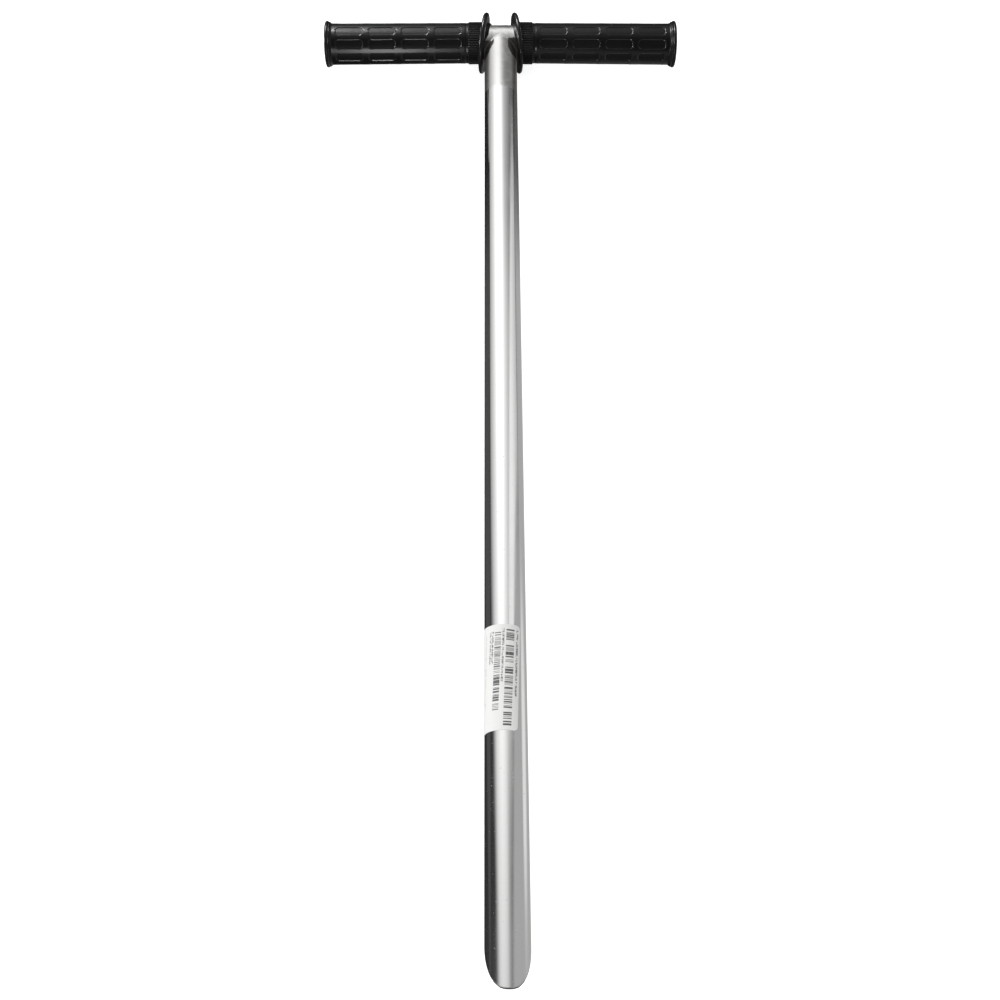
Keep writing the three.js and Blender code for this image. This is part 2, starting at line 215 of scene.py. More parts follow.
@dataclass
class SamplingTube:
    """The tube with its slot and ground tongue, in mm from the handle bar's axis.

    Attributes:
        axis_to_tip: Distance from the handle bar's axis to the tongue's end.
        tongue_rise: Length over which the tongue's cut climbs one radius.
        tongue_roll: Angle by which the cut is rolled to one side.
        bluntness: How blunt the tongue's end is, 1 for a plain cut.
        shoulder: Length over which the cut turns into the slot's edges.
        slot_drop: How far the slot's edges lie past the tube's axis.
        run_out: Length over which the slot runs out upwards.
        bevel_length: Length of the bevel inside the tongue.
        bevel_lip: Thickness that the bevel leaves at the edge.
        lip_chamfer: Chamfer of the slot's edges.
        chamfer_run: Width of that chamfer round the tube.
        bar_overlap: How far the coped end reaches into the bar.
        ground: Distances from the cut between which the painted shade along it fades.
        columns: Points round the open part.
        lower_columns: Points round the side that the slot has cut away.
    """

    radius: float = 12.5
    wall: float = 1.5
    axis_to_tip: float = 717.2
    tongue_rise: float = 24.0
    tongue_roll: float = math.radians(2.6)
    bluntness: float = 1.2
    shoulder: float = 12.0
    slot_length: float = 200.0
    slot_drop: float = 2.0
    run_out: float = 24.0
    bevel_length: float = 8.0
    bevel_lip: float = 0.5
    lip_chamfer: float = 0.2
    chamfer_run: float = 0.35
    bar_overlap: float = 0.1
    ground: tuple[float, float] = (0.35, 1.05)
    columns: int = 104
    lower_columns: int = 84

    @property
    def tip(self) -> float:
        """Place of the tongue's end."""
        return -self.axis_to_tip

    @property
    def bore(self) -> float:
        """Inner radius."""
        return self.radius - self.wall

    @property
    def edge_angle(self) -> float:
        """Angle of the slot's edges from the top of the tube."""
        return math.acos(-self.slot_drop / self.radius)

    @property
    def run_out_start(self) -> float:
        """Place where the slot's straight edges end."""
        return self.tip + self.slot_length - self.run_out

    def tongue_edge(self, angles: Grid) -> Grid:
        """Finds where the ground edge of the tongue lies.

        Args:
            angles: Angles from the top of the tube.

        Returns:
            The place along the tube at each angle, with the small unevenness of grinding.
        """
        slope = self.tongue_rise / self.radius
        roll = self.tongue_roll * np.cos(angles * 0.5 * math.pi / self.edge_angle)
        height = self.radius * np.cos(angles - roll)
        corner = self.tip + slope * (self.radius + self.slot_drop)
        half = self.shoulder / 2
        bend = half / slope
        share = np.clip((height + self.slot_drop) / bend, 0, 1)
        turn = 1 - np.sqrt(share)
        curve = (1 - turn) ** 2 * (corner - half) + 2 * turn * (1 - turn) * corner
        curve = curve + turn**2 * (corner + self.shoulder)
        straight = self.tip + slope * (self.radius - height)
        edge = np.where(height + self.slot_drop >= bend, straight, curve)
        rise = np.maximum((edge - self.tip) / self.tongue_rise, 0)
        edge = self.tip + self.tongue_rise * np.where(rise < 1, rise**self.bluntness, rise)
        return edge + self.tongue_wobble(angles)

    def tongue_wobble(self, angles: Grid) -> Grid:
        """Finds the unevenness of the cut, which fades out at its end and its shoulders.

        Args:
            angles: Angles from the top of the tube.

        Returns:
            How far the edge strays along the tube at each angle.
        """
        aside = np.abs(angles)
        fade = smoothstep(aside, 0.1, 0.35) * (1 - smoothstep(aside, 0.7, 1.3))
        return fade * (0.08 * np.sin(9 * angles + 1.1) + 0.07 * np.sin(23 * angles + 0.4))

    def slot_start(self, angles: Grid) -> Grid:
        """Finds where the whole tube begins.

        Args:
            angles: Angles from the top of the tube.

        Returns:
            The place along the tube at each angle.
        """
        drop = self.radius - self.slot_drop
        height = np.clip((self.radius * np.cos(angles) + self.radius) / drop, 0, 1)
        return self.run_out_start + self.run_out * np.sqrt(1 - height**2)

    def upper_end(self, angles: Grid, bar_radius: float) -> Grid:
        """Returns the place at which the coped end meets the handle bar."""
        height = self.radius * np.cos(angles)
        return -np.sqrt((bar_radius - self.bar_overlap) ** 2 - height**2)

    def ring(self, radius: Grid | float, angles: Grid, place: Grid) -> Grid:
        """Returns points round the tube."""
        return np.stack([radius * np.sin(angles), place, radius * np.cos(angles)], axis=-1)

    def open_angles(self) -> Grid:
        """Finds the angles of the open part's points, with two close to each of its edges.

        Returns:
            The angles from the top of the tube.
        """
        edge = self.edge_angle
        chamfer = self.chamfer_run / self.radius
        inner = np.linspace(-edge, edge, self.columns)[1:-1]
        return np.concatenate([[-edge, -edge + chamfer], inner, [edge - chamfer, edge]])

    def surface_map(self, rows: list[Grid], angles: Grid) -> Grid:
        """Lays out rings of points on the surface map.

        Args:
            rows: The rings.
            angles: Angles of their points.

        Returns:
            Places round the tube and along it, in metres.
        """
        around = angles * self.radius * MM
        maps = [np.stack([around, row[:, 1] * MM], axis=-1) for row in rows]
        return np.array(maps).reshape(-1, 2)

    def tongue_patch(self) -> tuple[Grid, Grid, Faces]:
        """Builds the half-open lower part, inside and outside in one grid.

        Returns:
            Points, map coordinates and faces.
        """
        angles = self.open_angles()
        start = self.tongue_edge(angles)
        length = self.run_out_start - start
        along = np.array([0.002, 0.006, 0.014, 0.024, 0.034, 0.05, 0.1, 0.2, 0.35, 0.5, 0.75, 1.0])
        side = np.zeros_like(angles)
        side[[0, -1]] = self.lip_chamfer
        thin = self.radius - self.bevel_lip
        past_bore = self.wall - self.bevel_lip + 0.5
        rows = []
        for depth in (length * share for share in along[::-1]):
            bevel = thin - past_bore * depth / self.bevel_length
            rows.append(self.ring(np.maximum(self.bore, bevel) + side, angles, start + depth))
        lip = np.full_like(angles, thin)
        rows.append(self.ring(lip, angles, start))
        rows.append(self.ring(lip + self.bevel_lip - self.lip_chamfer, angles, start))
        for share in along:
            rows.append(self.ring(self.radius - side, angles, start + length * share))
        faces = grid_faces(len(rows), len(angles), False)
        count = len(angles)
        last = count - 1
        half = len(along)
        for row in range(half):
            here = (half - row) * count
            there = (half + 1 + row) * count
            after = here - count
            beyond = there + count
            faces.append((here, there, beyond, after))
            faces.append((here + last, after + last, beyond + last, there + last))
        return np.array(rows).reshape(-1, 3), self.surface_map(rows, angles), faces

    def closed_patch(self, bar_radius: float) -> tuple[Grid, Grid, Faces]:
        """Builds the part above the slot, inside and outside in one grid.

        Args:
            bar_radius: Outer radius of the handle bar.

        Returns:
            Points, map coordinates and faces.
        """
        edge = self.edge_angle
        lower = np.linspace(edge, 2 * math.pi - edge, self.lower_columns)
        angles = np.concatenate([self.open_angles()[:-1], lower])
        open_side = np.zeros_like(angles)
        open_side[0] = 1
        open_side[self.columns + 1 :] = 1
        start = np.where(open_side > 0, self.slot_start(angles), self.run_out_start)
        length = self.upper_end(angles, bar_radius) - start
        along = np.array([0.0, 0.0007, 0.003, 0.01, 0.03, 0.08, 0.2, 0.4, 0.6, 0.8, 0.95, 1.0])
        rows = []
        for share in along[::-1]:
            softened = self.lip_chamfer * open_side * (share == 0)
            rows.append(self.ring(self.bore + softened, angles, start + length * share))
        for share in along:
            softened = self.lip_chamfer * open_side * (share == 0)
            rows.append(self.ring(self.radius - softened, angles, start + length * share))
        rows.append(rows[0])
        faces = grid_faces(len(rows), len(angles), False)
        count = len(angles)
        seam = (len(along) - 1) * count
        hidden = range(seam, seam + self.columns + 1)
        kept = [face for face in faces if face[0] not in hidden or face[3] - face[0] != count]
        return np.array(rows).reshape(-1, 3), self.surface_map(rows, angles), kept

    def build(self, frame: ProbeFrame, bar_radius: float) -> bpy.types.Object:
        """Builds the tube and puts it in place of its CAD solid.

        Args:
            frame: The probe's own axes.
            bar_radius: Outer radius of the handle bar.

        Returns:
            The new piece.
        """
        low_points, low_map, low_faces = self.tongue_patch()
        top_points, top_map, top_faces = self.closed_patch(bar_radius)
        shift = len(low_points)
        faces = low_faces + [tuple(point + shift for point in face) for face in top_faces]
        points = np.concatenate([low_points, top_points])
        uv = np.concatenate([low_map, top_map])
        # The shape mark here is painted shade along the tongue's cut edge.
        from_edge = low_points[:, 1] - self.tongue_edge(low_map[:, 0] / (self.radius * MM))
        edge = 1 - smoothstep(from_edge, *self.ground)
        marks = np.concatenate([edge, np.zeros(len(top_points))])
        piece = make_piece("tube_steel", points, faces, frame, 30.0, uv, marks)
        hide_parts("sampling_tube")
        return piece


# Handle bar and weld


@dataclass
class HandleBar:
    """The stainless tube across the top, in mm.

    Attributes:
        edge: Chamfer of its ends, which the grips hide.
        shown: Half the length between the grips, which has a ring of points on each mm.
        dressed: Distances from its middle between which the hand grinding fades out.
        columns: Points round it.
    """

    radius: float = 13.45
    wall: float = 1.5
    edge: float = 0.3
    shown: int = 14
    dressed: tuple[float, float] = (9.0, 13.0)
    columns: int = 128

    def ground(self, place: float, angles: Grid) -> Grid:
        """Finds how uneven the hand grinding next to the weld has left the bar.

        Args:
            place: Distance from the bar's middle.
            angles: Angles round the bar.

        Returns:
            The height of the surface at each angle.
        """
        share = 1 - float(smoothstep(np.array(abs(place)), *self.dressed))
        waves = 0.035 * np.sin(5 * angles + 0.9 * place) + 0.025 * np.sin(11 * angles - 0.5 * place)
        return share * waves

    def build(self, frame: ProbeFrame) -> bpy.types.Object:
        """Builds the bar over the length of its CAD solid.

        Args:
            frame: The probe's own axes.

        Returns:
            The new piece.
        """
        low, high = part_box("handle_bar")
        reach = (high.x - low.x) / 2 / MM
        bore = self.radius - self.wall
        edge = self.edge
        profile = [(-reach, bore), (-reach, self.radius - edge), (-reach + edge, self.radius)]
        middle = np.linspace(-self.shown, self.shown, 2 * self.shown + 1)
        profile += [(x, self.radius) for x in middle]
        profile += [(reach - edge, self.radius), (reach, self.radius - edge), (reach, bore)]
        profile.append(profile[0])
        angles = np.linspace(0, 2 * math.pi, self.columns + 1)
        rows = []
        maps = []
        for x, radius in profile:
            outer = radius + self.ground(x, angles) * (radius > bore)
            rows.append(np.stack([np.full_like(angles, x), outer * np.cos(angles),
                                  outer * np.sin(angles)], axis=-1))
            maps.append(np.stack([angles * radius * MM, np.full_like(angles, x * MM)], axis=-1))
        faces = grid_faces(len(rows), len(angles), False)
        piece = make_piece("bar_steel", np.array(rows).reshape(-1, 3), faces, frame, 30.0,
                           np.array(maps).reshape(-1, 2))
        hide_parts("handle_bar")
        return piece


@dataclass
class SaddleWeld:
    """The dressed bead round the coped joint, in mm.

    Attributes:
        front_width: Half the bead's width where it faces up or down.
        front_height: Its height there.
        side_reach: Half its width and its height beside the tube.
        ripple: Height of its ripples.
        ripples: Number of ripples round the joint.
        rings: Cross-sections round the joint.
        sides: Points over each cross-section.
        sink: How far its edges lie in the steel.
        root: How deep its root lies.
    """

    front_width: float = 5.3
    front_height: float = 0.50
    side_reach: float = 1.0
    ripple: float = 0.10
    ripples: int = 46
    rings: int = 276
    sides: int = 15
    sink: float = 0.25
    root: float = 0.8

    def seam(self, place: Grid, tube: SamplingTube, bar: HandleBar) -> Grid:
        """Finds the line where the tube meets the bar.

        Args:
            place: Angles from the top of the tube.
            tube: The tube that is welded on.
            bar: The bar that it is welded to.

        Returns:
            Points of the line.
        """
        height = tube.radius * np.cos(place)
        return tube.ring(tube.radius, place, -np.sqrt(bar.radius**2 - height**2))

    def directions(self, place: Grid, tube: SamplingTube, bar: HandleBar) -> tuple[Grid, Grid]:
        """Finds the two directions of each cross-section.

        Args:
            place: Angles from the top of the tube.
            tube: The tube that is welded on.
            bar: The bar that it is welded to.

        Returns:
            The way out of the corner and the way across the bead, each of length 1.
        """
        seam = self.seam(place, tube, bar)
        along = unit(self.seam(place + 0.01, tube, bar) - self.seam(place - 0.01, tube, bar))
        from_tube = np.stack([np.sin(place), 0 * place, np.cos(place)], axis=-1)
        from_bar = unit(np.stack([0 * place, seam[:, 1], seam[:, 2]], axis=-1))
        outward = unit(from_tube + from_bar)
        return outward, unit(np.cross(along, outward))

    def build(self, frame: ProbeFrame, tube: SamplingTube, bar: HandleBar) -> bpy.types.Object:
        """Builds the bead with the ripples that its grinding left.

        Args:
            frame: The probe's own axes.
            tube: The tube that is welded on.
            bar: The bar that it is welded to.

        Returns:
            The new piece.
        """
        place = np.linspace(0, 2 * math.pi, self.rings, endpoint=False)
        seam = self.seam(place, tube, bar)
        outward, sideways = self.directions(place, tube, bar)
        front = np.abs(np.cos(place)) * (1 - 0.3 * np.sin(place))
        wave = np.sin(self.ripples * place + 1.7 * np.sin(3 * place))
        uneven = 0.10 * np.sin(5 * place + 0.6) + 0.08 * np.sin(13 * place)
        uneven = uneven + 0.07 * np.sin(31 * place + 2.1) + 0.05 * np.sin(67 * place)
        width = self.side_reach + (self.front_width - self.side_reach) * front
        width = width * (1 + 0.5 * uneven)
        height = self.side_reach + (self.front_height - self.side_reach) * front
        height = height + self.ripple * wave * (1 - 0.75 * front) + 0.3 * uneven
        section = []
        for turn in np.linspace(-0.5 * math.pi, 0.5 * math.pi, self.sides):
            rise = (height * math.cos(turn) - self.sink)[:, None]
            section.append(seam + outward * rise + sideways * (width * math.sin(turn))[:, None])
        section.append(seam - outward * self.root)
        points = np.stack(section, axis=1)
        count = len(section)
        faces = grid_faces(self.rings, count, True)
        last = (self.rings - 1) * count
        for side in range(count):
            after = (side + 1) % count
            faces.append((last + side, last + after, after, side))
        uv = np.stack(np.broadcast_arrays(place[:, None] * 0.01, np.arange(count) * 0.0006), -1)
        piece = make_piece("weld_bead", points.reshape(-1, 3), faces, frame, 50.0,
                           uv.reshape(-1, 2))
        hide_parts("saddle_weld")
        return piece


# Moulded grips


@dataclass
class MouldedGrip:
    """A grip with windows, ribbed collar and leaning flange; distances in mm from the tube.

    Attributes:
        side: Which half of the bar it sits on.
        body: Radius of the body where the windows start.
        taper: How much the body grows for each mm towards the closed end.
        droop: How much its axis drops for each mm towards the closed end.
        boss: How far the mouth reaches towards the tube, all round but beside the weld.
        boss_turns: Angles from the weld's side between which that begins and is full.
        mouth: How deep the mouth's edge is chamfered.
        mouth_wall: Thickness of the wall that belongs to the mouth.
        front: Rings nearer the tube than this are on the flange's front.
        matt_reach: Radius within which that front is matt.
        bead: Radius of the flange's rounded rim.
        web_front: How far the flange's web reaches from its middle towards the tube.
        web_back: The same away from the tube.
        lean: Angle of the flange from upright.
        window_rows: Windows round the grip.
        window_columns: Windows along it.
        window_steps: Distances from a window's end at which its wall needs rings of points.
        parting_turns: Angles of the two lines that the mould leaves.
        end_band: Length of the plain band after the last window.
    """

    side: Side
    body: float = 15.2
    taper: float = 0.0032
    droop: float = 0.0099
    boss: float = 1.3
    boss_turns: tuple[float, float] = (0.7, 1.25)
    bore: float = 13.6
    flange_place: float = 12.80548
    flange_height: float = 7.7
    bead: float = 1.8
    web_front: float = 1.66
    web_back: float = 0.9
    step_height: float = 2.95
    step_length: float = 1.1
    lean: float = math.radians(7.6)
    mouth: float = 0.6
    mouth_wall: float = 1.3
    front: float = 13.0
    matt_reach: float = 19.0
    collar_start: float = 15.60548
    collar_length: float = 9.5
    collar_ribs: int = 54
    rib_root: float = -0.25
    rib_crest: float = 0.65
    rib_flank: float = 0.35
    neck: float = 5.2
    groove: float = 0.16
    groove_length: float = 1.5
    window_columns: int = 4
    window_rows: int = 9
    window_length: float = 21.4
    window_gap: float = 4.1
    window_angle: float = math.radians(28)
    window_corner: float = 2.8
    window_depth: float = 0.5
    window_wall: float = 0.50
    window_steps: tuple[float, ...] = (0.0, 0.15, 0.3, 0.45, 0.7, 1.0, 1.4, 1.9, 2.4, 3.0)
    parting_turns: tuple[float, float] = (math.radians(-21.5), math.radians(158.5))
    parting_height: float = 0.07
    parting_width: float = 0.16
    end_band: float = 4.3
    ring_height: float = 1.95
    ring_length: float = 4.3
    rim_radius: float = 1.45
    end_fillet: float = 1.6
    end_wall: float = 3.0
    columns: int = 432

    @property
    def collar_end(self) -> float:
        """Place where the ribbed collar ends."""
        return self.collar_start + self.collar_length

    @property
    def pitch(self) -> float:
        """Distance from one window to the next along the grip."""
        return self.window_length + self.window_gap

    @property
    def windows_start(self) -> float:
        """Place where the first window begins."""
        return self.collar_end + self.neck

    @property
    def end(self) -> float:
        """Place of the closed end."""
        windows = self.window_columns * self.pitch - self.window_gap
        return self.windows_start + windows + self.end_band + self.ring_length

    def arc(self, middle: tuple[float, float], radius: float, first: float, last: float,
            steps: int) -> Outline:
        """Makes an arc of an outline.

        Args:
            middle: Its middle, as a place along the grip and a distance from the axis.
            radius: Its radius.
            first: Angle of its first point in degrees, 0 outwards and 90 away from the tube.
            last: Angle of its last point.
            steps: Number of points.

        Returns:
            Its points.
        """
        turns = np.radians(np.linspace(first, last, steps))
        return [(middle[0] + radius * math.sin(t), middle[1] + radius * math.cos(t)) for t in turns]

    def flange_profile(self) -> Outline:
        """Draws the flange from the bore's mouth over its rim and step to the collar.

        Returns:
            Its outline.
        """
        rim = self.body + self.flange_height - self.bead
        front = math.degrees(math.asin(self.web_front / self.bead))
        back = math.degrees(math.asin(self.web_back / self.bead))
        web = self.flange_place - self.web_front
        lip = ((self.mouth, 0), (0.15, 0.15), (0, 0.5), (0.05, 1.1), (0.3, 1.6))
        points = [(web + inset, self.bore + rise) for inset, rise in lip]
        points += self.arc((self.flange_place, rim), self.bead, -180 + front, 180 - back, 23)
        foot = self.body + self.step_height + self.step_length
        behind = self.flange_place + self.web_back
        points += [(behind, rim - self.bead - 0.25), (behind, foot + 0.2)]
        points += self.arc((behind, foot - self.step_length), self.step_length, 8, 90, 7)
        drop = foot - self.step_length - self.body - 0.15
        run = self.collar_start - 0.05 - behind - self.step_length
        for turn in np.radians(np.linspace(8, 90, 8)):
            points.append((behind + self.step_length + run * (1 - math.cos(turn)),
                           self.body + drop * (1 - math.sin(turn))))
        return points

    def body_places(self) -> list[float]:
        """Finds where the neck and the windows need rings of points.

        Returns:
            Their places.
        """
        neck_end = self.collar_end + self.groove_length * 2 + 0.3
        places = list(np.linspace(neck_end, self.windows_start - 0.3, 4))
        for column in range(self.window_columns):
            start = self.windows_start + column * self.pitch
            far = start + self.window_length
            places += [start + step for step in self.window_steps]
            places += list(np.linspace(start + 4.5, far - 4.5, 5))
            places += [far - step for step in reversed(self.window_steps)]
            if column < self.window_columns - 1:
                places += [far + 1.0, far + 2.05, far + 3.1]
        places += [far + 1.0, far + self.end_band - self.end_fillet - 0.4]
        return places

    def end_profile(self) -> Outline:
        """Draws the end ring with its bead and the closed end.

        Returns:
            Their outline.
        """
        ring_start = self.end - self.ring_length
        fillet = self.end_fillet
        points = []
        for turn in np.radians(np.linspace(0, 62, 6)[:-1]):
            points.append((ring_start - fillet * (1 - math.sin(turn)),
                           self.body + 0.75 * fillet * (1 - math.cos(turn))))
        bead = (ring_start + 0.75, self.body + self.ring_height * 0.38)
        points += self.arc(bead, 0.55, -50, 70, 8)
        points.append((ring_start + 1.24, self.body + self.ring_height * 0.30))
        crest = (self.end - self.rim_radius - 0.2, self.body + self.ring_height - self.rim_radius)
        points += self.arc(crest, self.rim_radius, -98, 90, 18)
        points += [(self.end, self.body * share) for share in (0.94, 0.9, 0.62, 0.3, 0.0)]
        return points

    def profile(self) -> list[tuple[float, float, str]]:
        """Draws the whole grip, from the bore's bottom round to the closed end.

        Returns:
            The outline, each point with the zone that its ring belongs to.
        """
        bottom = self.end - self.end_wall
        rows = [(bottom, 0.0, "bore"), (bottom, self.bore, "bore")]
        for place, radius in self.flange_profile():
            in_mouth = radius < self.bore + self.mouth_wall and place < self.front
            rows.append((place, radius, "mouth" if in_mouth else "flange"))
        collar = np.concatenate([[0.0, 0.12, 0.35], np.linspace(1.5, self.collar_length - 1.5, 4),
                                 [self.collar_length - 0.35, self.collar_length - 0.12]])
        rows += [(self.collar_start + step, self.body, "collar") for step in collar]
        rows.append((self.collar_end, self.body - 0.05, "neck"))
        for turn in np.linspace(0.12, 1, 7) * math.pi * 2:
            dip = self.groove * 0.5 * (1 - math.cos(turn))
            step = self.groove_length * 2 * turn / (2 * math.pi)
            rows.append((self.collar_end + step, self.body - dip, "neck"))
        rows += [(x, self.body, "windows") for x in self.body_places()]
        rows += [(x, r, "end") for x, r in self.end_profile()]
        return rows

    def window_dip(self, place: float, angles: Grid) -> Grid:
        """Finds how deep the windows are cut at one ring.

        Args:
            place: Distance from the tube's axis.
            angles: Angles round the grip, 0 down the tube.

        Returns:
            Depth at each angle, in mm.
        """
        row = 2 * math.pi / self.window_rows
        across = (np.mod(angles + row / 2, row) - row / 2) * self.body
        column = np.clip(np.round((place - self.windows_start - self.window_length / 2)
                                  / self.pitch), 0, self.window_columns - 1)
        middle = self.windows_start + self.window_length / 2 + column * self.pitch
        reach_x = abs(place - middle) - self.window_length / 2 + self.window_corner
        reach_y = np.abs(across) - self.window_angle * self.body / 2 + self.window_corner
        outside = np.hypot(np.maximum(reach_x, 0), np.maximum(reach_y, 0))
        inside = np.minimum(np.maximum(reach_x, reach_y), 0)
        distance = outside + inside - self.window_corner
        return self.window_depth * smoothstep(-distance, -0.05, self.window_wall)

    def rib_rise(self, place: float, angles: Grid) -> Grid:
        """Finds how high the collar's ribs stand at one ring.

        Args:
            place: Distance from the tube's axis.
            angles: Angles round the grip.

        Returns:
            Height at each angle, in mm.
        """
        share = np.mod(angles * self.collar_ribs / (2 * math.pi), 1)
        slope = np.clip(np.minimum(share, 1 - share) / self.rib_flank, 0, 1)
        inset = min(place - self.collar_start, self.collar_end - place)
        rise = self.rib_root + (self.rib_crest - self.rib_root) * slope
        return rise * float(smoothstep(np.array(inset), -0.05, 0.3))

    def parting_line(self, angles: Grid, radius: float) -> Grid:
        """Finds the height of the thin line that the two halves of the mould leave.

        Args:
            angles: Angles round the grip.
            radius: Radius of the ring.

        Returns:
            Height at each angle, in mm; none on the closed end's face.
        """
        offsets = [np.abs(np.angle(np.exp(1j * (angles - turn)))) for turn in self.parting_turns]
        near = np.minimum(*offsets) * max(radius, 1)
        line = self.parting_height * np.exp(-((near / self.parting_width) ** 2))
        return line * (radius > self.body * 0.9)

    def ring(self, place: float, radius: float, zone: str, angles: Grid) -> tuple[Grid, Grid]:
        """Makes one ring of points.

        Args:
            place: Its distance from the tube's axis.
            radius: Its radius before windows, ribs and taper.
            zone: The zone that it belongs to.
            angles: Angles round the grip, 0 down the tube.

        Returns:
            Its points in probe axes and their shape marks, 1 where the rubber is dull.
        """
        dip = self.window_dip(place, angles) if zone == "windows" else 0 * angles
        outer = np.full_like(angles, radius) - dip
        if zone == "collar":
            outer = outer + self.rib_rise(place, angles)
        if zone in ("windows", "end", "neck"):
            outer = outer + self.parting_line(angles, radius)
        if zone in ("windows", "end"):
            share = min(1.0, radius / self.body)
            outer = outer + share * self.taper * (place - self.windows_start)
        down = -outer * np.cos(angles) - self.droop * max(0.0, place - self.flange_place)
        follow = 1 - float(smoothstep(np.array(place), self.collar_start - 2, self.collar_end))
        along = place - follow * down * math.tan(self.lean)
        if zone == "mouth":
            turned = np.minimum(angles, 2 * math.pi - angles)
            along = along - self.boss * smoothstep(turned, *self.boss_turns)
        points = np.stack([self.side.value * along, down, outer * np.sin(angles)], axis=-1)
        on_front = zone == "flange" and place < self.front and radius < self.matt_reach
        matt = zone in ("mouth", "collar") or on_front
        return points, np.full_like(angles, 1.0) if matt else dip / self.window_depth

    def build(self, frame: ProbeFrame) -> bpy.types.Object:
        """Builds the grip on its half of the bar.

        Args:
            frame: The probe's own axes.

        Returns:
            The new piece.
        """
        name = self.side.name.lower()
        angles = np.linspace(0, 2 * math.pi, self.columns + 1)
        rows = []
        maps = []
        marks = []
        for place, radius, zone in self.profile():
            points, mark = self.ring(place, radius, zone, angles)
            rows.append(points)
            marks.append(mark)
            maps.append(np.stack([angles * self.body * MM, np.full_like(angles, place * MM)], -1))
        faces = grid_faces(len(rows), len(angles), False)
        piece = make_piece(f"{name}_grip_rubber", np.array(rows).reshape(-1, 3), faces, frame, 40.0,
                           np.array(maps).reshape(-1, 2), np.array(marks).ravel())
        piece.visible_glossy = False
        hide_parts(f"{name}_grip")
        return piece


# Sticker


@dataclass
class PaperLabel:
    """The white sticker, in mm.

    Attributes:
        corner: Radius of its corners.
        to_tip: Distance from the tongue's end to its middle.
        turn: Angle of its middle from the top of the tube.
        skew: How far it sits askew.
        under: Gap between the tube and the paper.
        lift: How much the paper stands off the tube.
        bubble: Height of the one air bubble under it.
        bubble_place: Place of the bubble across and along the paper.
        bubble_size: Squares of its reach across and along.
    """

    length: float = 66.0
    width: float = 28.0
    thickness: float = 0.14
    corner: float = 2.5
    to_tip: float = 174.2
    turn: float = math.radians(-27)
    skew: float = math.radians(-2.5)
    under: float = 0.01
    lift: float = 0.035
    bubble: float = 0.16
    bubble_place: tuple[float, float] = (-3.0, -18.0)
    bubble_size: tuple[float, float] = (9, 14)
    columns: int = 60
    rows: int = 90

    def flat_sheet(self) -> tuple[Grid, Grid]:
        """Lays out the flat paper with its rounded corners.

        Returns:
            The places of its points across and along.
        """
        half = self.width / 2
        side = np.linspace(-1, 1, self.columns)
        across = half * np.sin(side * math.pi / 2) * 0.25 + half * side * 0.75
        reach = np.maximum(np.abs(across) - (half - self.corner), 0)
        end = self.length / 2 - self.corner + np.sqrt(self.corner**2 - reach**2)
        share = np.linspace(-1, 1, self.rows)
        along = share[:, None] * end[None, :]
        return np.broadcast_to(across, along.shape), along

    def wrap(self, across: Grid, along: Grid, height: Grid, tube: SamplingTube) -> Grid:
        """Wraps flat places round the tube.

        Args:
            across: Places across the paper.
            along: Places along the paper.
            height: Distance from the tube's surface.
            tube: The tube that carries the sticker.

        Returns:
            The points in probe axes.
        """
        flat_x = across * math.cos(self.skew) - along * math.sin(self.skew)
        flat_y = across * math.sin(self.skew) + along * math.cos(self.skew)
        angles = self.turn + flat_x / tube.radius
        return tube.ring(tube.radius + height, angles, flat_y + tube.tip + self.to_tip)

    def waves(self, across: Grid, along: Grid) -> tuple[Grid, Grid]:
        """Finds how much the paper's face waves where it doesn't lie quite flat.

        Args:
            across: Places across the paper.
            along: Places along the paper.

        Returns:
            The height of the waves and that of the bubble.
        """
        rise = 0.02 * np.sin(along * 0.31 + across * 0.2) + 0.015 * np.sin(along * 0.9 - across)
        reach = (across - self.bubble_place[0]) ** 2 / self.bubble_size[0]
        reach = reach + (along - self.bubble_place[1]) ** 2 / self.bubble_size[1]
        return rise, self.bubble * np.exp(-reach)

    def rim(self) -> list[int]:
        """Follows the sheet's rim once round.

        Returns:
            The numbers of its points.
        """
        last = self.columns - 1
        rim = list(range(self.columns))
        rim += [row * self.columns + last for row in range(1, self.rows)]
        rim += [(self.rows - 1) * self.columns + column for column in range(last - 1, -1, -1)]
        return rim + [row * self.columns for row in range(self.rows - 2, 0, -1)]

    def build(self, frame: ProbeFrame, tube: SamplingTube) -> bpy.types.Object:
        """Builds the sticker on the tube.

        Args:
            frame: The probe's own axes.
            tube: The tube that carries it.

        Returns:
            The new piece.
        """
        across, along = self.flat_sheet()
        rise, bubble = self.waves(across, along)
        top = self.wrap(across, along, self.thickness + self.lift + rise + bubble, tube)
        bottom = self.wrap(across, along, np.full_like(along, self.under), tube)
        count = across.size
        face = grid_faces(self.rows, self.columns, False)
        faces = face + [tuple(point + count for point in reversed(corners)) for corners in face]
        rim = self.rim()
        faces += [(a, a + count, b + count, b) for a, b in zip(rim, rim[1:] + rim[:1])]
        points = np.concatenate([top.reshape(-1, 3), bottom.reshape(-1, 3)])
        flat = np.stack([across * MM, along * MM], axis=-1).reshape(-1, 2)
        piece = make_piece("sticker_paper", points, faces, frame, 35.0,
                           np.concatenate([flat, flat]))
        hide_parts("paper_label")
        return piece


# Node graphs

Value = Any
Colour = tuple[float, float, float, float]


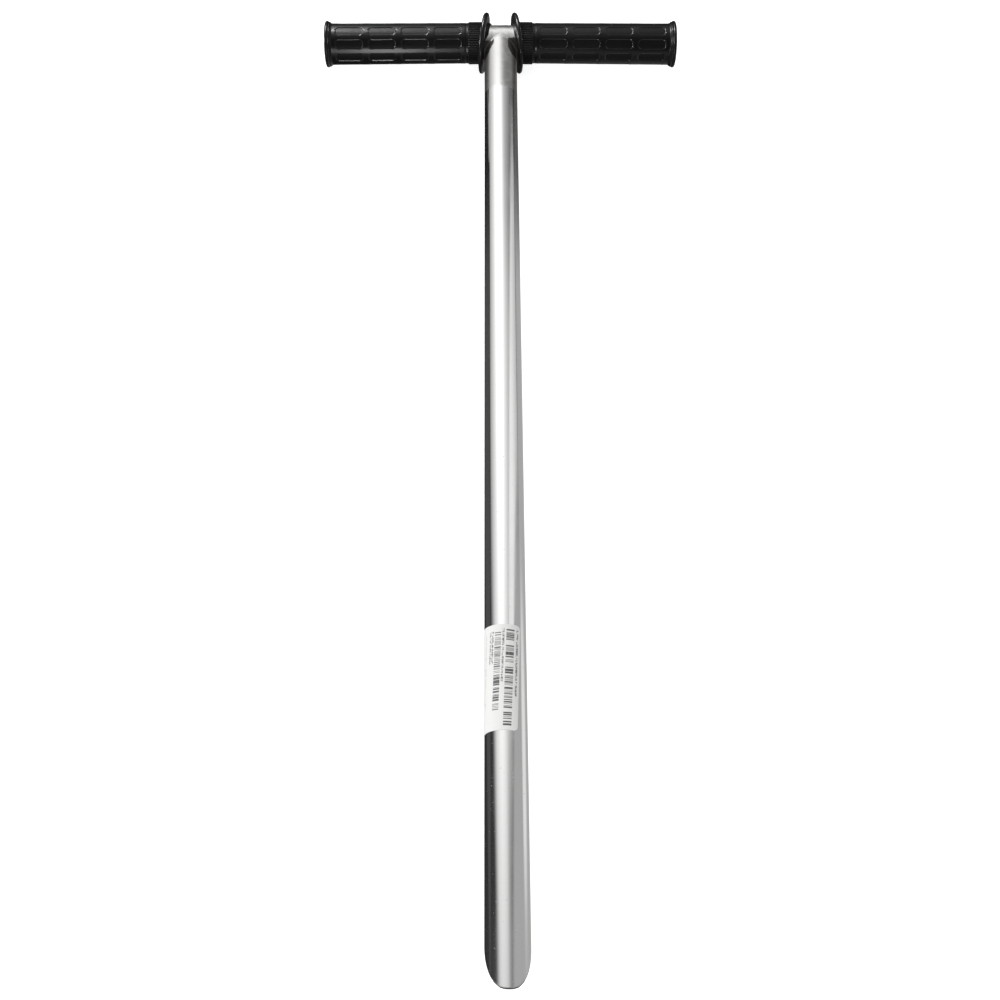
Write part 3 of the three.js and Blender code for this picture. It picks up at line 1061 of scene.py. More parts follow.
@dataclass
class Graph:
    """A thin layer over a node tree, so that a finish reads as a short list of steps."""

    tree: bpy.types.NodeTree

    def node(self, kind: str, inputs: dict[Any, Value] | None = None,
             **settings: Any) -> bpy.types.Node:
        """Adds a node.

        Args:
            kind: Blender's name of the kind of node.
            inputs: Socket names or numbers, each with a value or an output to link.
            **settings: Properties of the node.

        Returns:
            The node.
        """
        made = self.tree.nodes.new(kind)
        for name, value in settings.items():
            setattr(made, name, value)
        for name, value in (inputs or {}).items():
            self.feed(made.inputs[name], value)
        return made

    def feed(self, socket: bpy.types.NodeSocket, value: Value) -> None:
        """Links an output to a socket, or sets the socket's own value.

        Args:
            socket: The input to feed.
            value: An output or a plain value.
        """
        if isinstance(value, bpy.types.NodeSocket):
            self.tree.links.new(value, socket)
        else:
            socket.default_value = value

    def math(self, operation: str, *values: Value, clamp: bool = False) -> Value:
        """Adds a Math node.

        Args:
            operation: Blender's name of the operation.
            *values: Its numbers.
            clamp: True to keep the result between 0 and 1.

        Returns:
            Its output.
        """
        inputs = dict(enumerate(values))
        return self.node("ShaderNodeMath", inputs, operation=operation, use_clamp=clamp).outputs[0]

    def times(self, first: Value, *others: Value) -> Value:
        """Multiplies numbers, from left to right.

        Args:
            first: The first number.
            *others: The numbers that it is multiplied by.

        Returns:
            Their product.
        """
        for other in others:
            first = self.math("MULTIPLY", first, other)
        return first

    def plus(self, first: Value, *others: Value) -> Value:
        """Adds numbers, from left to right.

        Args:
            first: The first number.
            *others: The numbers that are added to it.

        Returns:
            Their sum.
        """
        for other in others:
            first = self.math("ADD", first, other)
        return first

    def minus(self, first: Value, second: Value) -> Value:
        """Returns the first number less the second."""
        return self.math("SUBTRACT", first, second)

    def times_plus(self, first: Value, factor: Value, added: Value) -> Value:
        """Returns the first number times the factor, with the last one added."""
        return self.math("MULTIPLY_ADD", first, factor, added)

    def vector(self, operation: str, *values: Value, out: str = "Vector") -> Value:
        """Returns an output of a Vector Math node."""
        made = self.node("ShaderNodeVectorMath", dict(enumerate(values)), operation=operation)
        return made.outputs[out]

    def split(self, place: Value) -> tuple[Value, Value, Value]:
        """Returns the X, Y and Z of a place or a direction."""
        parts = self.node("ShaderNodeSeparateXYZ", {0: place}).outputs
        return parts["X"], parts["Y"], parts["Z"]

    def ramp(self, value: Value, low: float, high: float, start: float = 0.0,
             end: float = 1.0) -> Value:
        """Makes a smooth step.

        Args:
            value: The number that it follows.
            low: Where it begins, which may lie above its end.
            high: Where it ends.
            start: Its height up to the beginning.
            end: Its height from the end on.

        Returns:
            The height of the step.
        """
        inputs = {"Value": value, "From Min": low, "From Max": high, "To Min": start, "To Max": end}
        made = self.node("ShaderNodeMapRange", inputs, interpolation_type="SMOOTHSTEP")
        return made.outputs["Result"]

    def line(self, value: Value, stops: list[tuple[float, float]]) -> Value:
        """Makes a grey ramp through stops.

        Args:
            value: The number that it follows.
            stops: Pairs of place and brightness, both 0 to 1.

        Returns:
            The grey.
        """
        made = self.node("ShaderNodeValToRGB", {0: value})
        elements = made.color_ramp.elements
        while len(elements) < len(stops):
            elements.new(1.0)
        for element, (place, grey) in zip(elements, stops):
            element.position = place
            element.color = (grey, grey, grey, 1)
        return made.outputs["Color"]

    def noise(self, place: Value, scale: float, detail: float = 3.0, rough: float = 0.5) -> Value:
        """Makes fractal noise.

        Args:
            place: Where it is looked up.
            scale: Lumps in a unit of place.
            detail: How many finer layers are added.
            rough: How strong they are.

        Returns:
            The noise, about 0.5.
        """
        inputs = {"Vector": place, "Scale": scale, "Detail": detail, "Roughness": rough}
        return self.node("ShaderNodeTexNoise", inputs).outputs["Fac"]

    def mix(self, share: Value, first: Value, second: Value) -> Value:
        """Returns a mix of two colours, which is the second at a share of 1."""
        inputs = {0: share, 6: first, 7: second}
        return self.node("ShaderNodeMix", data_type="RGBA", inputs=inputs).outputs[2]

    def blend(self, share: Value, first: Value, second: Value) -> Value:
        """Returns a mix of two numbers, which is the second at a share of 1."""
        inputs = {0: share, 2: first, 3: second}
        return self.node("ShaderNodeMix", data_type="FLOAT", inputs=inputs).outputs[0]


def make_group(name: str, inputs: dict[str, float], outputs: list[str],
               fill: Callable[[Graph, Any, Any], None]) -> bpy.types.NodeTree:
    """Makes a shader node group with named inputs and outputs.

    Args:
        name: Name of the group.
        inputs: Names of the numbers that it takes, with their defaults; it also takes a Place.
        outputs: Names of the numbers that it puts out.
        fill: Builds the inside from the graph, the input sockets and the output sockets.

    Returns:
        The node group.
    """
    tree = bpy.data.node_groups.new(name, "ShaderNodeTree")
    tree.interface.new_socket("Place", in_out="INPUT", socket_type="NodeSocketVector")
    for label, default in inputs.items():
        socket = tree.interface.new_socket(label, in_out="INPUT", socket_type="NodeSocketFloat")
        socket.default_value = default
    for label in outputs:
        tree.interface.new_socket(label, in_out="OUTPUT", socket_type="NodeSocketFloat")
    start = tree.nodes.new("NodeGroupInput")
    end = tree.nodes.new("NodeGroupOutput")
    fill(Graph(tree), start.outputs, end.inputs)
    return tree


def fill_grain(graph: Graph, given: Any, put: Any) -> None:
    """Fills the group of the fine lines that drawing and polishing leave along one direction.

    Args:
        graph: The group's graph.
        given: Its Place and Depth.
        put: Its Height, the lines' height, and its Mask, the lines as a share.
    """
    fine = graph.times(graph.noise(given["Place"], 1.0, 4.0, 0.6), 0.65)
    broad = graph.times(graph.noise(given["Place"], 0.21, 2.0, 0.5), 0.35)
    lines = graph.plus(fine, broad)
    graph.feed(put["Height"], graph.times(graph.minus(lines, 0.5), given["Depth"]))
    graph.feed(put["Mask"], lines)


def fill_smudge(graph: Graph, given: Any, put: Any) -> None:
    """Fills the group of the soft smudges, dust and small pits of a handled surface.

    Args:
        graph: The group's graph.
        given: Its Place, its Amount of smudges and its Dust.
        put: Its Smudge and its Specks, both as shares.
    """
    patches = graph.ramp(graph.noise(given["Place"], 26.0, 4.0, 0.6), 0.42, 0.7)
    specks = graph.ramp(graph.noise(given["Place"], 900.0, 2.0, 0.5), 0.68, 0.76)
    graph.feed(put["Smudge"], graph.times(patches, given["Amount"]))
    graph.feed(put["Specks"], graph.times(specks, given["Dust"]))


@dataclass(frozen=True)
class SharedEffects:
    """The node groups that several finishes use."""

    grain: bpy.types.NodeTree
    smudge: bpy.types.NodeTree

    @classmethod
    def make(cls) -> "SharedEffects":
        """Makes the groups once.

        Returns:
            The groups.
        """
        grain = make_group("grain", {"Depth": 1.0}, ["Height", "Mask"], fill_grain)
        smudge = make_group("smudge", {"Amount": 1.0, "Dust": 0.0}, ["Smudge", "Specks"],
                            fill_smudge)
        return cls(grain, smudge)

    def lines(self, graph: Graph, surface: Value, count: tuple[float, float]) -> Any:
        """Places the group of fine lines in a material.

        Args:
            graph: The material's graph.
            surface: The surface map.
            count: How many lines lie in a metre round the piece and along it.

        Returns:
            Its Height and Mask.
        """
        place = graph.vector("MULTIPLY", surface, (*count, 1))
        inputs = {"Place": place, "Depth": 1.0}
        return graph.node("ShaderNodeGroup", inputs, node_tree=self.grain).outputs

    def handling(self, graph: Graph, place: Value, dust: float) -> Any:
        """Places the group of smudges and specks in a material.

        Args:
            graph: The material's graph.
            place: The place in the row frame.
            dust: How strong the specks are.

        Returns:
            Its Smudge and Specks.
        """
        inputs = {"Place": place, "Amount": 1.0, "Dust": dust}
        return graph.node("ShaderNodeGroup", inputs, node_tree=self.smudge).outputs


def start_material(name: str) -> tuple[bpy.types.Material, Graph, bpy.types.Node]:
    """Makes a material with a Principled shader.

    Args:
        name: Name of the material.

    Returns:
        The material, its graph and the shader.
    """
    material = bpy.data.materials.new(name)
    material.use_nodes = True
    graph = Graph(material.node_tree)
    return material, graph, material.node_tree.nodes["Principled BSDF"]


def surface_place(graph: Graph) -> tuple[Value, Value, Value]:
    """Looks up the surface map.

    Args:
        graph: The material's graph.

    Returns:
        The map in metres, its part round the piece and its part along it.
    """
    uv = graph.node("ShaderNodeUVMap", uv_map=SURFACE_MAP).outputs["UV"]
    around, along, _ = graph.split(uv)
    return uv, around, along


def object_place(graph: Graph) -> Value:
    """Returns the place in the row frame, in metres."""
    return graph.node("ShaderNodeTexCoord").outputs["Object"]


def shape_mark(graph: Graph) -> Value:
    """Returns the share that a piece's builder has marked its points with."""
    return graph.node("ShaderNodeAttribute", attribute_name=SHAPE_MARK).outputs["Fac"]


def bump(graph: Graph, height: Value, distance: float) -> Value:
    """Returns the normal that a height in units of distance gives."""
    inputs = {"Height": height, "Distance": distance, "Strength": 1.0}
    return graph.node("ShaderNodeBump", inputs).outputs["Normal"]


# Finishes


@dataclass(frozen=True)
class WeldStainsAndShade:
    """The painted shade round the weld and the heat haze beside it, in metres in the row frame.

    Each pair is where a soft edge starts and where it ends.

    Attributes:
        grit: How fine the edges' unevenness is.
        middle: X of the middle between the dark corners.
        crevice_side: Distance from the middle at which the painted shade in the crevice beside the
            weld begins.
        crevice_top: Y below which it begins.
        crevice_slant: How fast that place drops along X.
        corner_slope: Slope of the lower edge of the painted shade in the tube's corner.
        corner_from: Y at which that edge meets the middle.
        corner_line: Distance past that edge at which the corner begins.
        corner_low: Y above which it begins.
        corner_middle: X from which its width is measured.
        corner_side: Distance from there at which it begins.
        haze_and_shade_side: X at which the heat haze and the painted shade with it begin, which are
            only on the right.
    """

    grit: float = 420
    middle: float = -0.0010
    crevice_side: tuple[float, float] = (0.0060, 0.0072)
    crevice_top: tuple[float, float] = (0.3400, 0.3386)
    crevice_slant: float = -0.08
    corner_slope: float = 0.49
    corner_from: float = 0.3472
    corner_line: tuple[float, float] = (-0.0021, -0.0011)
    corner_low: tuple[float, float] = (0.3232, 0.3252)
    corner_middle: float = 0.0002
    corner_side: tuple[float, float] = (0.0050, 0.0058)
    haze_and_shade_side: tuple[float, float] = (-0.0020, 0.0035)

    def ragged(self, graph: Graph, place: Value, depth: float) -> Value:
        """Returns an unevenness that swings by half the depth to either side."""
        return graph.times_plus(graph.noise(place, self.grit, 3), depth, -depth / 2)

    def crevice_shade(self, graph: Graph, place: Value) -> Value:
        """Finds the painted shade in the crevices between the tube, the bar and the flanges.

        Args:
            graph: The material's graph.
            place: The place in the row frame.

        Returns:
            How deep a point lies in one, 0 to 1.
        """
        x, y, _ = graph.split(place)
        ragged = self.ragged(graph, place, 0.0022)
        aside = graph.plus(graph.math("ABSOLUTE", graph.plus(x, -self.middle)), ragged)
        below = graph.plus(graph.times_plus(x, self.crevice_slant, y), ragged)
        return graph.times(graph.ramp(aside, *self.crevice_side),
                           graph.ramp(below, *self.crevice_top))

    def corner_shade(self, graph: Graph, place: Value) -> Value:
        """Finds the painted shade in the tube's corners beside the weld.

        Args:
            graph: The material's graph.
            place: The place in the row frame.

        Returns:
            How deep a point lies in one, 0 to 1.
        """
        x, y, _ = graph.split(place)
        ragged = self.ragged(graph, place, 0.0016)
        wide = graph.math("ABSOLUTE", graph.plus(x, -self.middle))
        far = graph.times_plus(y, self.corner_slope, -self.corner_from * self.corner_slope)
        past_line = graph.ramp(graph.plus(wide, far, ragged), *self.corner_line)
        aside = graph.math("ABSOLUTE", graph.minus(x, self.corner_middle))
        near = graph.times(graph.ramp(y, *self.corner_low), graph.ramp(aside, *self.corner_side))
        return graph.times(past_line, near)

    def haze_and_shade(self, graph: Graph, place: Value) -> Value:
        """Finds the blotchy heat haze beside the weld, with painted shade that darkens only the
        right side.

        Args:
            graph: The material's graph.
            place: The place in the row frame.

        Returns:
            The haze and painted shade, 0 to 1.
        """
        x, _, _ = graph.split(place)
        cloud = graph.ramp(graph.noise(place, 150, 4, 0.6), 0.35, 0.60, 0.70, 1.0)
        return graph.times(graph.ramp(x, *self.haze_and_shade_side), cloud)


@dataclass(frozen=True)
class PolishedSteel:
    """Mirror-polished stainless tube, with a satin band where the weld was dressed.

    Attributes:
        tint: Colour of the polished steel.
        satin_tint: Colour of the satin band.
        edge_shade_tint: Colour of the painted shade along the tongue's cut edge.
        haze_and_shade_tint: Colour of the heat haze and the painted shade on the right.
        corner_shade_tint: Colour of the painted shade in the corners beside the weld.
        scratch_tint: Colour of the scratches.
        dust_tint: Colour of the specks.
        gloss: Roughness of the polished steel.
        satin: Roughness of the satin band.
        satin_edge: Places along the tube where the satin starts and is full, in metres.
        worn_edge: The same for the wear of the tongue.
        drawn_lines: Lines in a metre round and along the tube, from drawing it.
        scratches: The same for the scratches across it.
        relief: Height of the lines and scratches, in metres.
        stains_and_shade: The painted shade and heat haze round the weld.
    """

    tint: Colour = (0.80, 0.80, 0.795, 1)
    satin_tint: Colour = (0.74, 0.735, 0.725, 1)
    edge_shade_tint: Colour = (0.10, 0.10, 0.095, 1)
    haze_and_shade_tint: Colour = (0.20, 0.20, 0.185, 1)
    corner_shade_tint: Colour = (0.07, 0.065, 0.06, 1)
    scratch_tint: Colour = (0.5, 0.5, 0.49, 1)
    dust_tint: Colour = (0.35, 0.34, 0.32, 1)
    gloss: float = 0.075
    satin: float = 0.29
    satin_edge: tuple[float, float] = (-0.0598, -0.0558)
    worn_edge: tuple[float, float] = (-0.655, -0.695)
    drawn_lines: tuple[float, float] = (5200, 26)
    scratches: tuple[float, float] = (160, 2600)
    relief: float = 0.000012
    stains_and_shade: WeldStainsAndShade = WeldStainsAndShade()

    def make(self, effects: SharedEffects) -> bpy.types.Material:
        """Makes the material.

        Args:
            effects: The shared node groups.

        Returns:
            The material.
        """
        material, graph, shader = start_material("polished_steel")
        uv, _, along = surface_place(graph)
        place = object_place(graph)
        drawn = effects.lines(graph, uv, self.drawn_lines)
        scratch = effects.lines(graph, uv, self.scratches)
        marks = effects.handling(graph, place, 1.0)
        edge = shape_mark(graph)
        ragged = graph.times_plus(graph.noise(place, self.stains_and_shade.grit, 3), 0.004, along)
        satin = graph.ramp(ragged, *self.satin_edge)
        dull = graph.times(marks["Specks"], 0.35)
        colour = graph.mix(satin, self.tint, self.satin_tint)
        colour = graph.mix(graph.times(scratch["Mask"], 0.10), colour, self.scratch_tint)
        colour = graph.mix(dull, colour, self.dust_tint)
        # Heat haze with painted shade on the right side of the satin band.
        haze_and_shade = graph.times(satin, self.stains_and_shade.haze_and_shade(graph, place), 0.60)
        colour = graph.mix(haze_and_shade, colour, self.haze_and_shade_tint)
        # Painted shade in the tube's corners beside the weld.
        colour = graph.mix(self.stains_and_shade.corner_shade(graph, place), colour, self.corner_shade_tint)
        # Painted shade along the tongue's cut edge, from the shape mark.
        graph.feed(shader.inputs["Base Color"], graph.mix(edge, colour, self.edge_shade_tint))
        rough = graph.blend(satin, self.gloss, self.satin)
        rough = graph.times_plus(marks["Smudge"], 0.05, rough)
        rough = graph.plus(rough, graph.ramp(along, *self.worn_edge, 0.0, 0.06))
        rough = graph.times_plus(drawn["Mask"], 0.05, rough)
        rough = graph.times_plus(edge, 0.35, rough)
        graph.feed(shader.inputs["Roughness"], graph.math("ADD", rough, dull, clamp=True))
        shader.inputs["Metallic"].default_value = 1.0
        drawn_height = graph.times(drawn["Height"], graph.blend(satin, 0.35, 0.9))
        scratch_height = graph.times(scratch["Height"], graph.blend(satin, 0.10, 0.7))
        height = graph.plus(drawn_height, scratch_height)
        graph.feed(shader.inputs["Normal"], bump(graph, height, self.relief))
        return material


@dataclass(frozen=True)
class BrushedSteel:
    """Brushed and ground stainless bar, blotchy next to the weld, with painted shade in the
    crevices beside it.

    Attributes:
        tint: Colour of the bare steel.
        heat_tint: Colour of the blotches.
        painted_shade_tint: Colour of the painted shade in the crevices.
        line_tint: Colour of the brushed lines.
        rough: Roughness between the lines.
        brushed_lines: Lines in a metre round and along the bar.
        relief: Height of the lines and hollows, in metres.
        stains_and_shade: The painted shade and heat haze round the weld.
    """

    tint: Colour = (0.80, 0.80, 0.79, 1)
    heat_tint: Colour = (0.52, 0.505, 0.48, 1)
    painted_shade_tint: Colour = (0.07, 0.065, 0.06, 1)
    line_tint: Colour = (0.5, 0.5, 0.5, 1)
    rough: float = 0.27
    brushed_lines: tuple[float, float] = (1900, 90)
    relief: float = 0.00003
    stains_and_shade: WeldStainsAndShade = WeldStainsAndShade()

    def make(self, effects: SharedEffects) -> bpy.types.Material:
        """Makes the material.

        Args:
            effects: The shared node groups.

        Returns:
            The material.
        """
        material, graph, shader = start_material("brushed_steel")
        uv, _, _ = surface_place(graph)
        place = object_place(graph)
        lines = effects.lines(graph, uv, self.brushed_lines)
        marks = effects.handling(graph, place, 0.5)
        blotch = graph.ramp(graph.noise(place, 170, 4, 0.62), 0.46, 0.66)
        colour = graph.mix(graph.times(blotch, 0.55), self.tint, self.heat_tint)
        # Painted shade in the crevices beside the weld.
        colour = graph.mix(self.stains_and_shade.crevice_shade(graph, place), colour, self.painted_shade_tint)
        colour = graph.mix(graph.times(lines["Mask"], 0.18), colour, self.line_tint)
        graph.feed(shader.inputs["Base Color"], colour)
        rough = graph.times_plus(lines["Mask"], 0.12, self.rough)
        rough = graph.times_plus(marks["Smudge"], 0.05, rough)
        graph.feed(shader.inputs["Roughness"], rough)
        shader.inputs["Metallic"].default_value = 1.0
        hollows = graph.times(graph.noise(place, 240, 3), 2.0)
        height = graph.plus(lines["Height"], hollows)
        graph.feed(shader.inputs["Normal"], bump(graph, height, self.relief))
        return material


@dataclass(frozen=True)
class WeldMetal:
    """Ground weld metal, with darker pits, heat haze with painted shade on the right, and painted
    shade towards its sides and in the crevices.

    Attributes:
        tint: Colour of the ground metal.
        painted_shade_tint: Colour of the painted shade towards the bead's sides.
        crevice_shade_tint: Colour of the painted shade in the crevices.
        haze_and_shade_tint: Colour of the heat haze and the painted shade on the right.
        rough: Roughness of the ground metal.
        middle: X of the bead's middle, in metres.
        side: Distances from it at which the painted shade starts and is full.
        relief: Height of the ground hollows and pits, in metres.
        stains_and_shade: The painted shade and heat haze round the weld.
    """

    tint: Colour = (0.78, 0.775, 0.76, 1)
    painted_shade_tint: Colour = (0.30, 0.29, 0.27, 1)
    crevice_shade_tint: Colour = (0.07, 0.065, 0.06, 1)
    haze_and_shade_tint: Colour = (0.20, 0.20, 0.185, 1)
    rough: float = 0.40
    middle: float = -0.0018
    side: tuple[float, float] = (0.0055, 0.0100)
    relief: float = 0.00009
    stains_and_shade: WeldStainsAndShade = WeldStainsAndShade()

    def make(self, effects: SharedEffects) -> bpy.types.Material:
        """Makes the material.

        Args:
            effects: The shared node groups.

        Returns:
            The material.
        """
        material, graph, shader = start_material("weld_metal")
        place = object_place(graph)
        marks = effects.handling(graph, place, 1.0)
        # Painted shade towards the bead's sides, next to the flanges.
        x, _, _ = graph.split(place)
        aside = graph.math("ABSOLUTE", graph.plus(x, -self.middle))
        cloud = graph.ramp(graph.noise(place, 260, 4, 0.6), 0.35, 0.62)
        dark = graph.math("MULTIPLY", graph.ramp(aside, *self.side),
                          graph.times_plus(cloud, 0.5, 0.5), clamp=True)
        colour = graph.mix(dark, self.tint, self.painted_shade_tint)
        # Heat haze with painted shade on the right.
        haze_and_shade = graph.times(self.stains_and_shade.haze_and_shade(graph, place), 0.45)
        colour = graph.mix(haze_and_shade, colour, self.haze_and_shade_tint)
        # Painted shade in the crevices.
        colour = graph.mix(self.stains_and_shade.crevice_shade(graph, place), colour, self.crevice_shade_tint)
        graph.feed(shader.inputs["Base Color"], colour)
        graph.feed(shader.inputs["Roughness"], graph.times_plus(dark, 0.22, self.rough))
        shader.inputs["Metallic"].default_value = 1.0
        ground = graph.times(graph.noise(place, 300, 3, 0.6), 2.2)
        pits = graph.noise(place, 1300, 3, 0.6)
        height = graph.minus(graph.plus(ground, pits), graph.times(marks["Specks"], 0.8))
        graph.feed(shader.inputs["Normal"], bump(graph, height, self.relief))
        return material


@dataclass(frozen=True)
class GripRubber:
    """Black moulded rubber: smooth outside the windows, dull in them, glossy on their walls.

    Attributes:
        tint: Colour of the rubber.
        dust_tint: Colour of the dust on it.
        rough: Roughness of the smooth parts.
        matt: Roughness in the windows.
        level: Strength of its plain reflection.
        sheen: Weight of the gloss on the smooth parts.
        matt_sheen: The same in the windows.
        wall_sheen: How much more the windows' walls have.
        sheen_rough: Roughness of the gloss.
        flow_lines: Marks in a metre round and along the grip, from the mould.
        relief: Height of the grain, in metres.
    """

    tint: Colour = (0.0024, 0.0024, 0.0026, 1)
    dust_tint: Colour = (0.03, 0.03, 0.03, 1)
    rough: float = 0.34
    matt: float = 0.44
    level: float = 0.12
    sheen: float = 0.19
    matt_sheen: float = 0.03
    wall_sheen: float = 2.6
    sheen_rough: float = 0.18
    flow_lines: tuple[float, float] = (700, 700)
    relief: float = 0.00003

    def make(self, effects: SharedEffects) -> bpy.types.Material:
        """Makes the material.

        Args:
            effects: The shared node groups.

        Returns:
            The material.
        """
        material, graph, shader = start_material("grip_rubber")
        uv, _, _ = surface_place(graph)
        place = object_place(graph)
        marks = effects.handling(graph, place, 1.0)
        flow = effects.lines(graph, uv, self.flow_lines)
        depth = shape_mark(graph)
        dust = graph.times(marks["Specks"], 0.25)
        dust = graph.times_plus(marks["Smudge"], 0.04, dust)
        graph.feed(shader.inputs["Base Color"], graph.mix(dust, self.tint, self.dust_tint))
        rough = graph.blend(depth, self.rough, self.matt)
        rough = graph.times_plus(marks["Smudge"], 0.03, rough)
        graph.feed(shader.inputs["Roughness"], rough)
        shader.inputs["Specular IOR Level"].default_value = self.level
        wall = graph.times(depth, graph.minus(1.0, depth))
        sheen = graph.blend(depth, self.sheen, self.matt_sheen)
        graph.feed(shader.inputs["Coat Weight"], graph.times_plus(wall, self.wall_sheen, sheen))
        shader.inputs["Coat Roughness"].default_value = self.sheen_rough
        pebble = graph.times(graph.noise(place, 2600, 2, 0.5), graph.blend(depth, 0.6, 1.6))
        wave = graph.times(graph.noise(place, 90, 2, 0.5), 2.0)
        height = graph.plus(pebble, wave, graph.times(flow["Height"], 0.6))
        graph.feed(shader.inputs["Normal"], bump(graph, height, self.relief))
        return material


class PrintKind(Enum):
    """What a printed strip of the sticker shows."""

    BARS = "plain bars that stand for no number"
    MARKS = "short strokes in place of small text"


@dataclass(frozen=True)
class Print:
    """One printed strip of the sticker, in metres on the flat paper.

    Attributes:
        middle: Its middle across the paper.
        half: Half its width across.
        start: Its end nearer the tongue.
        end: Its end nearer the handle.
        step: Length of one bar or mark along the paper.
        ink: How dark the darkest marks are.
        kind: What it shows.
    """

    middle: float
    half: float
    start: float
    end: float
    step: float
    ink: float
    kind: PrintKind


@dataclass(frozen=True)
class LabelPaper:
    """White coated paper with plain bars that stand for no number and grey strokes for text.

    Attributes:
        paper: Colour of the paper.
        aged: Colour of its smudges.
        dust: Colour of its specks.
        ink: Colour of the print.
        rough: Roughness of the paper.
        inked: How much rougher the print is.
        soft_side: How far a strip's sides are blurred, in metres.
        soft_end: The same for its ends.
        cell: Width of one short stroke across the paper, in metres.
        marked: Share of the cells that hold a stroke.
        seed: Seed of the patterns.
        prints: The strips.
    """

    paper: Colour = (0.774, 0.769, 0.76, 1)
    aged: Colour = (0.7, 0.69, 0.66, 1)
    dust: Colour = (0.5, 0.5, 0.5, 1)
    ink: Colour = (0.03, 0.03, 0.03, 1)
    rough: float = 0.42
    inked: float = 0.15
    soft_side: float = 0.00006
    soft_end: float = 0.0001
    cell: float = 0.00045
    marked: float = 0.55
    seed: float = 4.7
    prints: tuple[Print, ...] = (
        Print(0.0077, 0.0024, -0.0312, 0.0298, 0.00030, 0.92, PrintKind.BARS),
        Print(0.0003, 0.0020, -0.0215, 0.0292, 0.00030, 0.88, PrintKind.BARS),
        Print(0.0120, 0.0006, -0.0120, 0.0300, 0.00052, 0.80, PrintKind.MARKS),
        Print(0.0036, 0.0006, -0.0036, 0.0304, 0.00052, 0.80, PrintKind.MARKS),
        Print(-0.0030, 0.0006, 0.0080, 0.0285, 0.00050, 0.75, PrintKind.MARKS),
        Print(-0.0046, 0.0006, 0.0080, 0.0285, 0.00050, 0.70, PrintKind.MARKS),
        Print(-0.0086, 0.0005, -0.0185, 0.0280, 0.00060, 0.35, PrintKind.MARKS),
    )

    def strip(self, graph: Graph, across: Value, along: Value, row: Print, seed: float) -> Value:
        """Draws one strip.

        Args:
            graph: The material's graph.
            across: Place across the paper.
            along: Place along the paper.
            row: The strip.
            seed: Seed of its pattern.

        Returns:
            The strip's ink, 0 to 1.
        """
        off = graph.math("ABSOLUTE", graph.minus(across, row.middle))
        inside = graph.ramp(off, row.half + self.soft_side, row.half - self.soft_side)
        low = graph.ramp(along, row.start - self.soft_end, row.start + self.soft_end)
        high = graph.ramp(along, row.end + self.soft_end, row.end - self.soft_end)
        window = graph.times(inside, graph.times(low, high))
        step = graph.math("FLOOR", graph.math("DIVIDE", along, row.step))
        if row.kind is PrintKind.BARS:
            chance = self.chance(graph, "2D", {0: step, 1: seed})
            crowded = graph.times_plus(graph.noise(along, 170, 1, 0.5), 0.5, 0.26)
            drawn = graph.math("LESS_THAN", chance, crowded)
        else:
            cell = graph.math("FLOOR", graph.math("DIVIDE", across, self.cell))
            chance = self.chance(graph, "3D", {0: step, 1: cell, 2: seed})
            drawn = graph.math("LESS_THAN", chance, self.marked)
        return graph.times(window, drawn, row.ink)

    def chance(self, graph: Graph, dimensions: str, spot: dict[int, Value]) -> Value:
        """Draws a number for each spot by white noise.

        Args:
            graph: The material's graph.
            dimensions: Blender's name of their count.
            spot: The spot's coordinates by number.

        Returns:
            The number, 0 to 1.
        """
        place = graph.node("ShaderNodeCombineXYZ", spot).outputs[0]
        return graph.node("ShaderNodeTexWhiteNoise", {"Vector": place},
                          noise_dimensions=dimensions).outputs["Value"]

    def make(self, effects: SharedEffects) -> bpy.types.Material:
        """Makes the material.

        Args:
            effects: The shared node groups.

        Returns:
            The material.
        """
        material, graph, shader = start_material("label_paper")
        _, across, along = surface_place(graph)
        place = object_place(graph)
        marks = effects.handling(graph, place, 0.6)
        ink: Value = 0.0
        for number, row in enumerate(self.prints, 1):
            drawn = self.strip(graph, across, along, row, self.seed * number)
            ink = graph.math("MAXIMUM", ink, drawn)
        worn = graph.ramp(graph.noise(place, 2600, 2), 0.25, 0.5, 0.75, 1.0)
        soft = graph.times(ink, worn)
        aged = graph.mix(graph.times(marks["Smudge"], 0.10), self.paper, self.aged)
        grey = graph.mix(graph.times(marks["Specks"], 0.15), aged, self.dust)
        graph.feed(shader.inputs["Base Color"], graph.mix(soft, grey, self.ink))
        graph.feed(shader.inputs["Roughness"], graph.times_plus(soft, self.inked, self.rough))
        fibre = graph.noise(place, 1500, 3, 0.6)
        wave = graph.times(graph.noise(place, 110, 2), 4.0)
        graph.feed(shader.inputs["Normal"], bump(graph, graph.plus(fibre, wave), 0.00002))
        return material


# Studio and camera


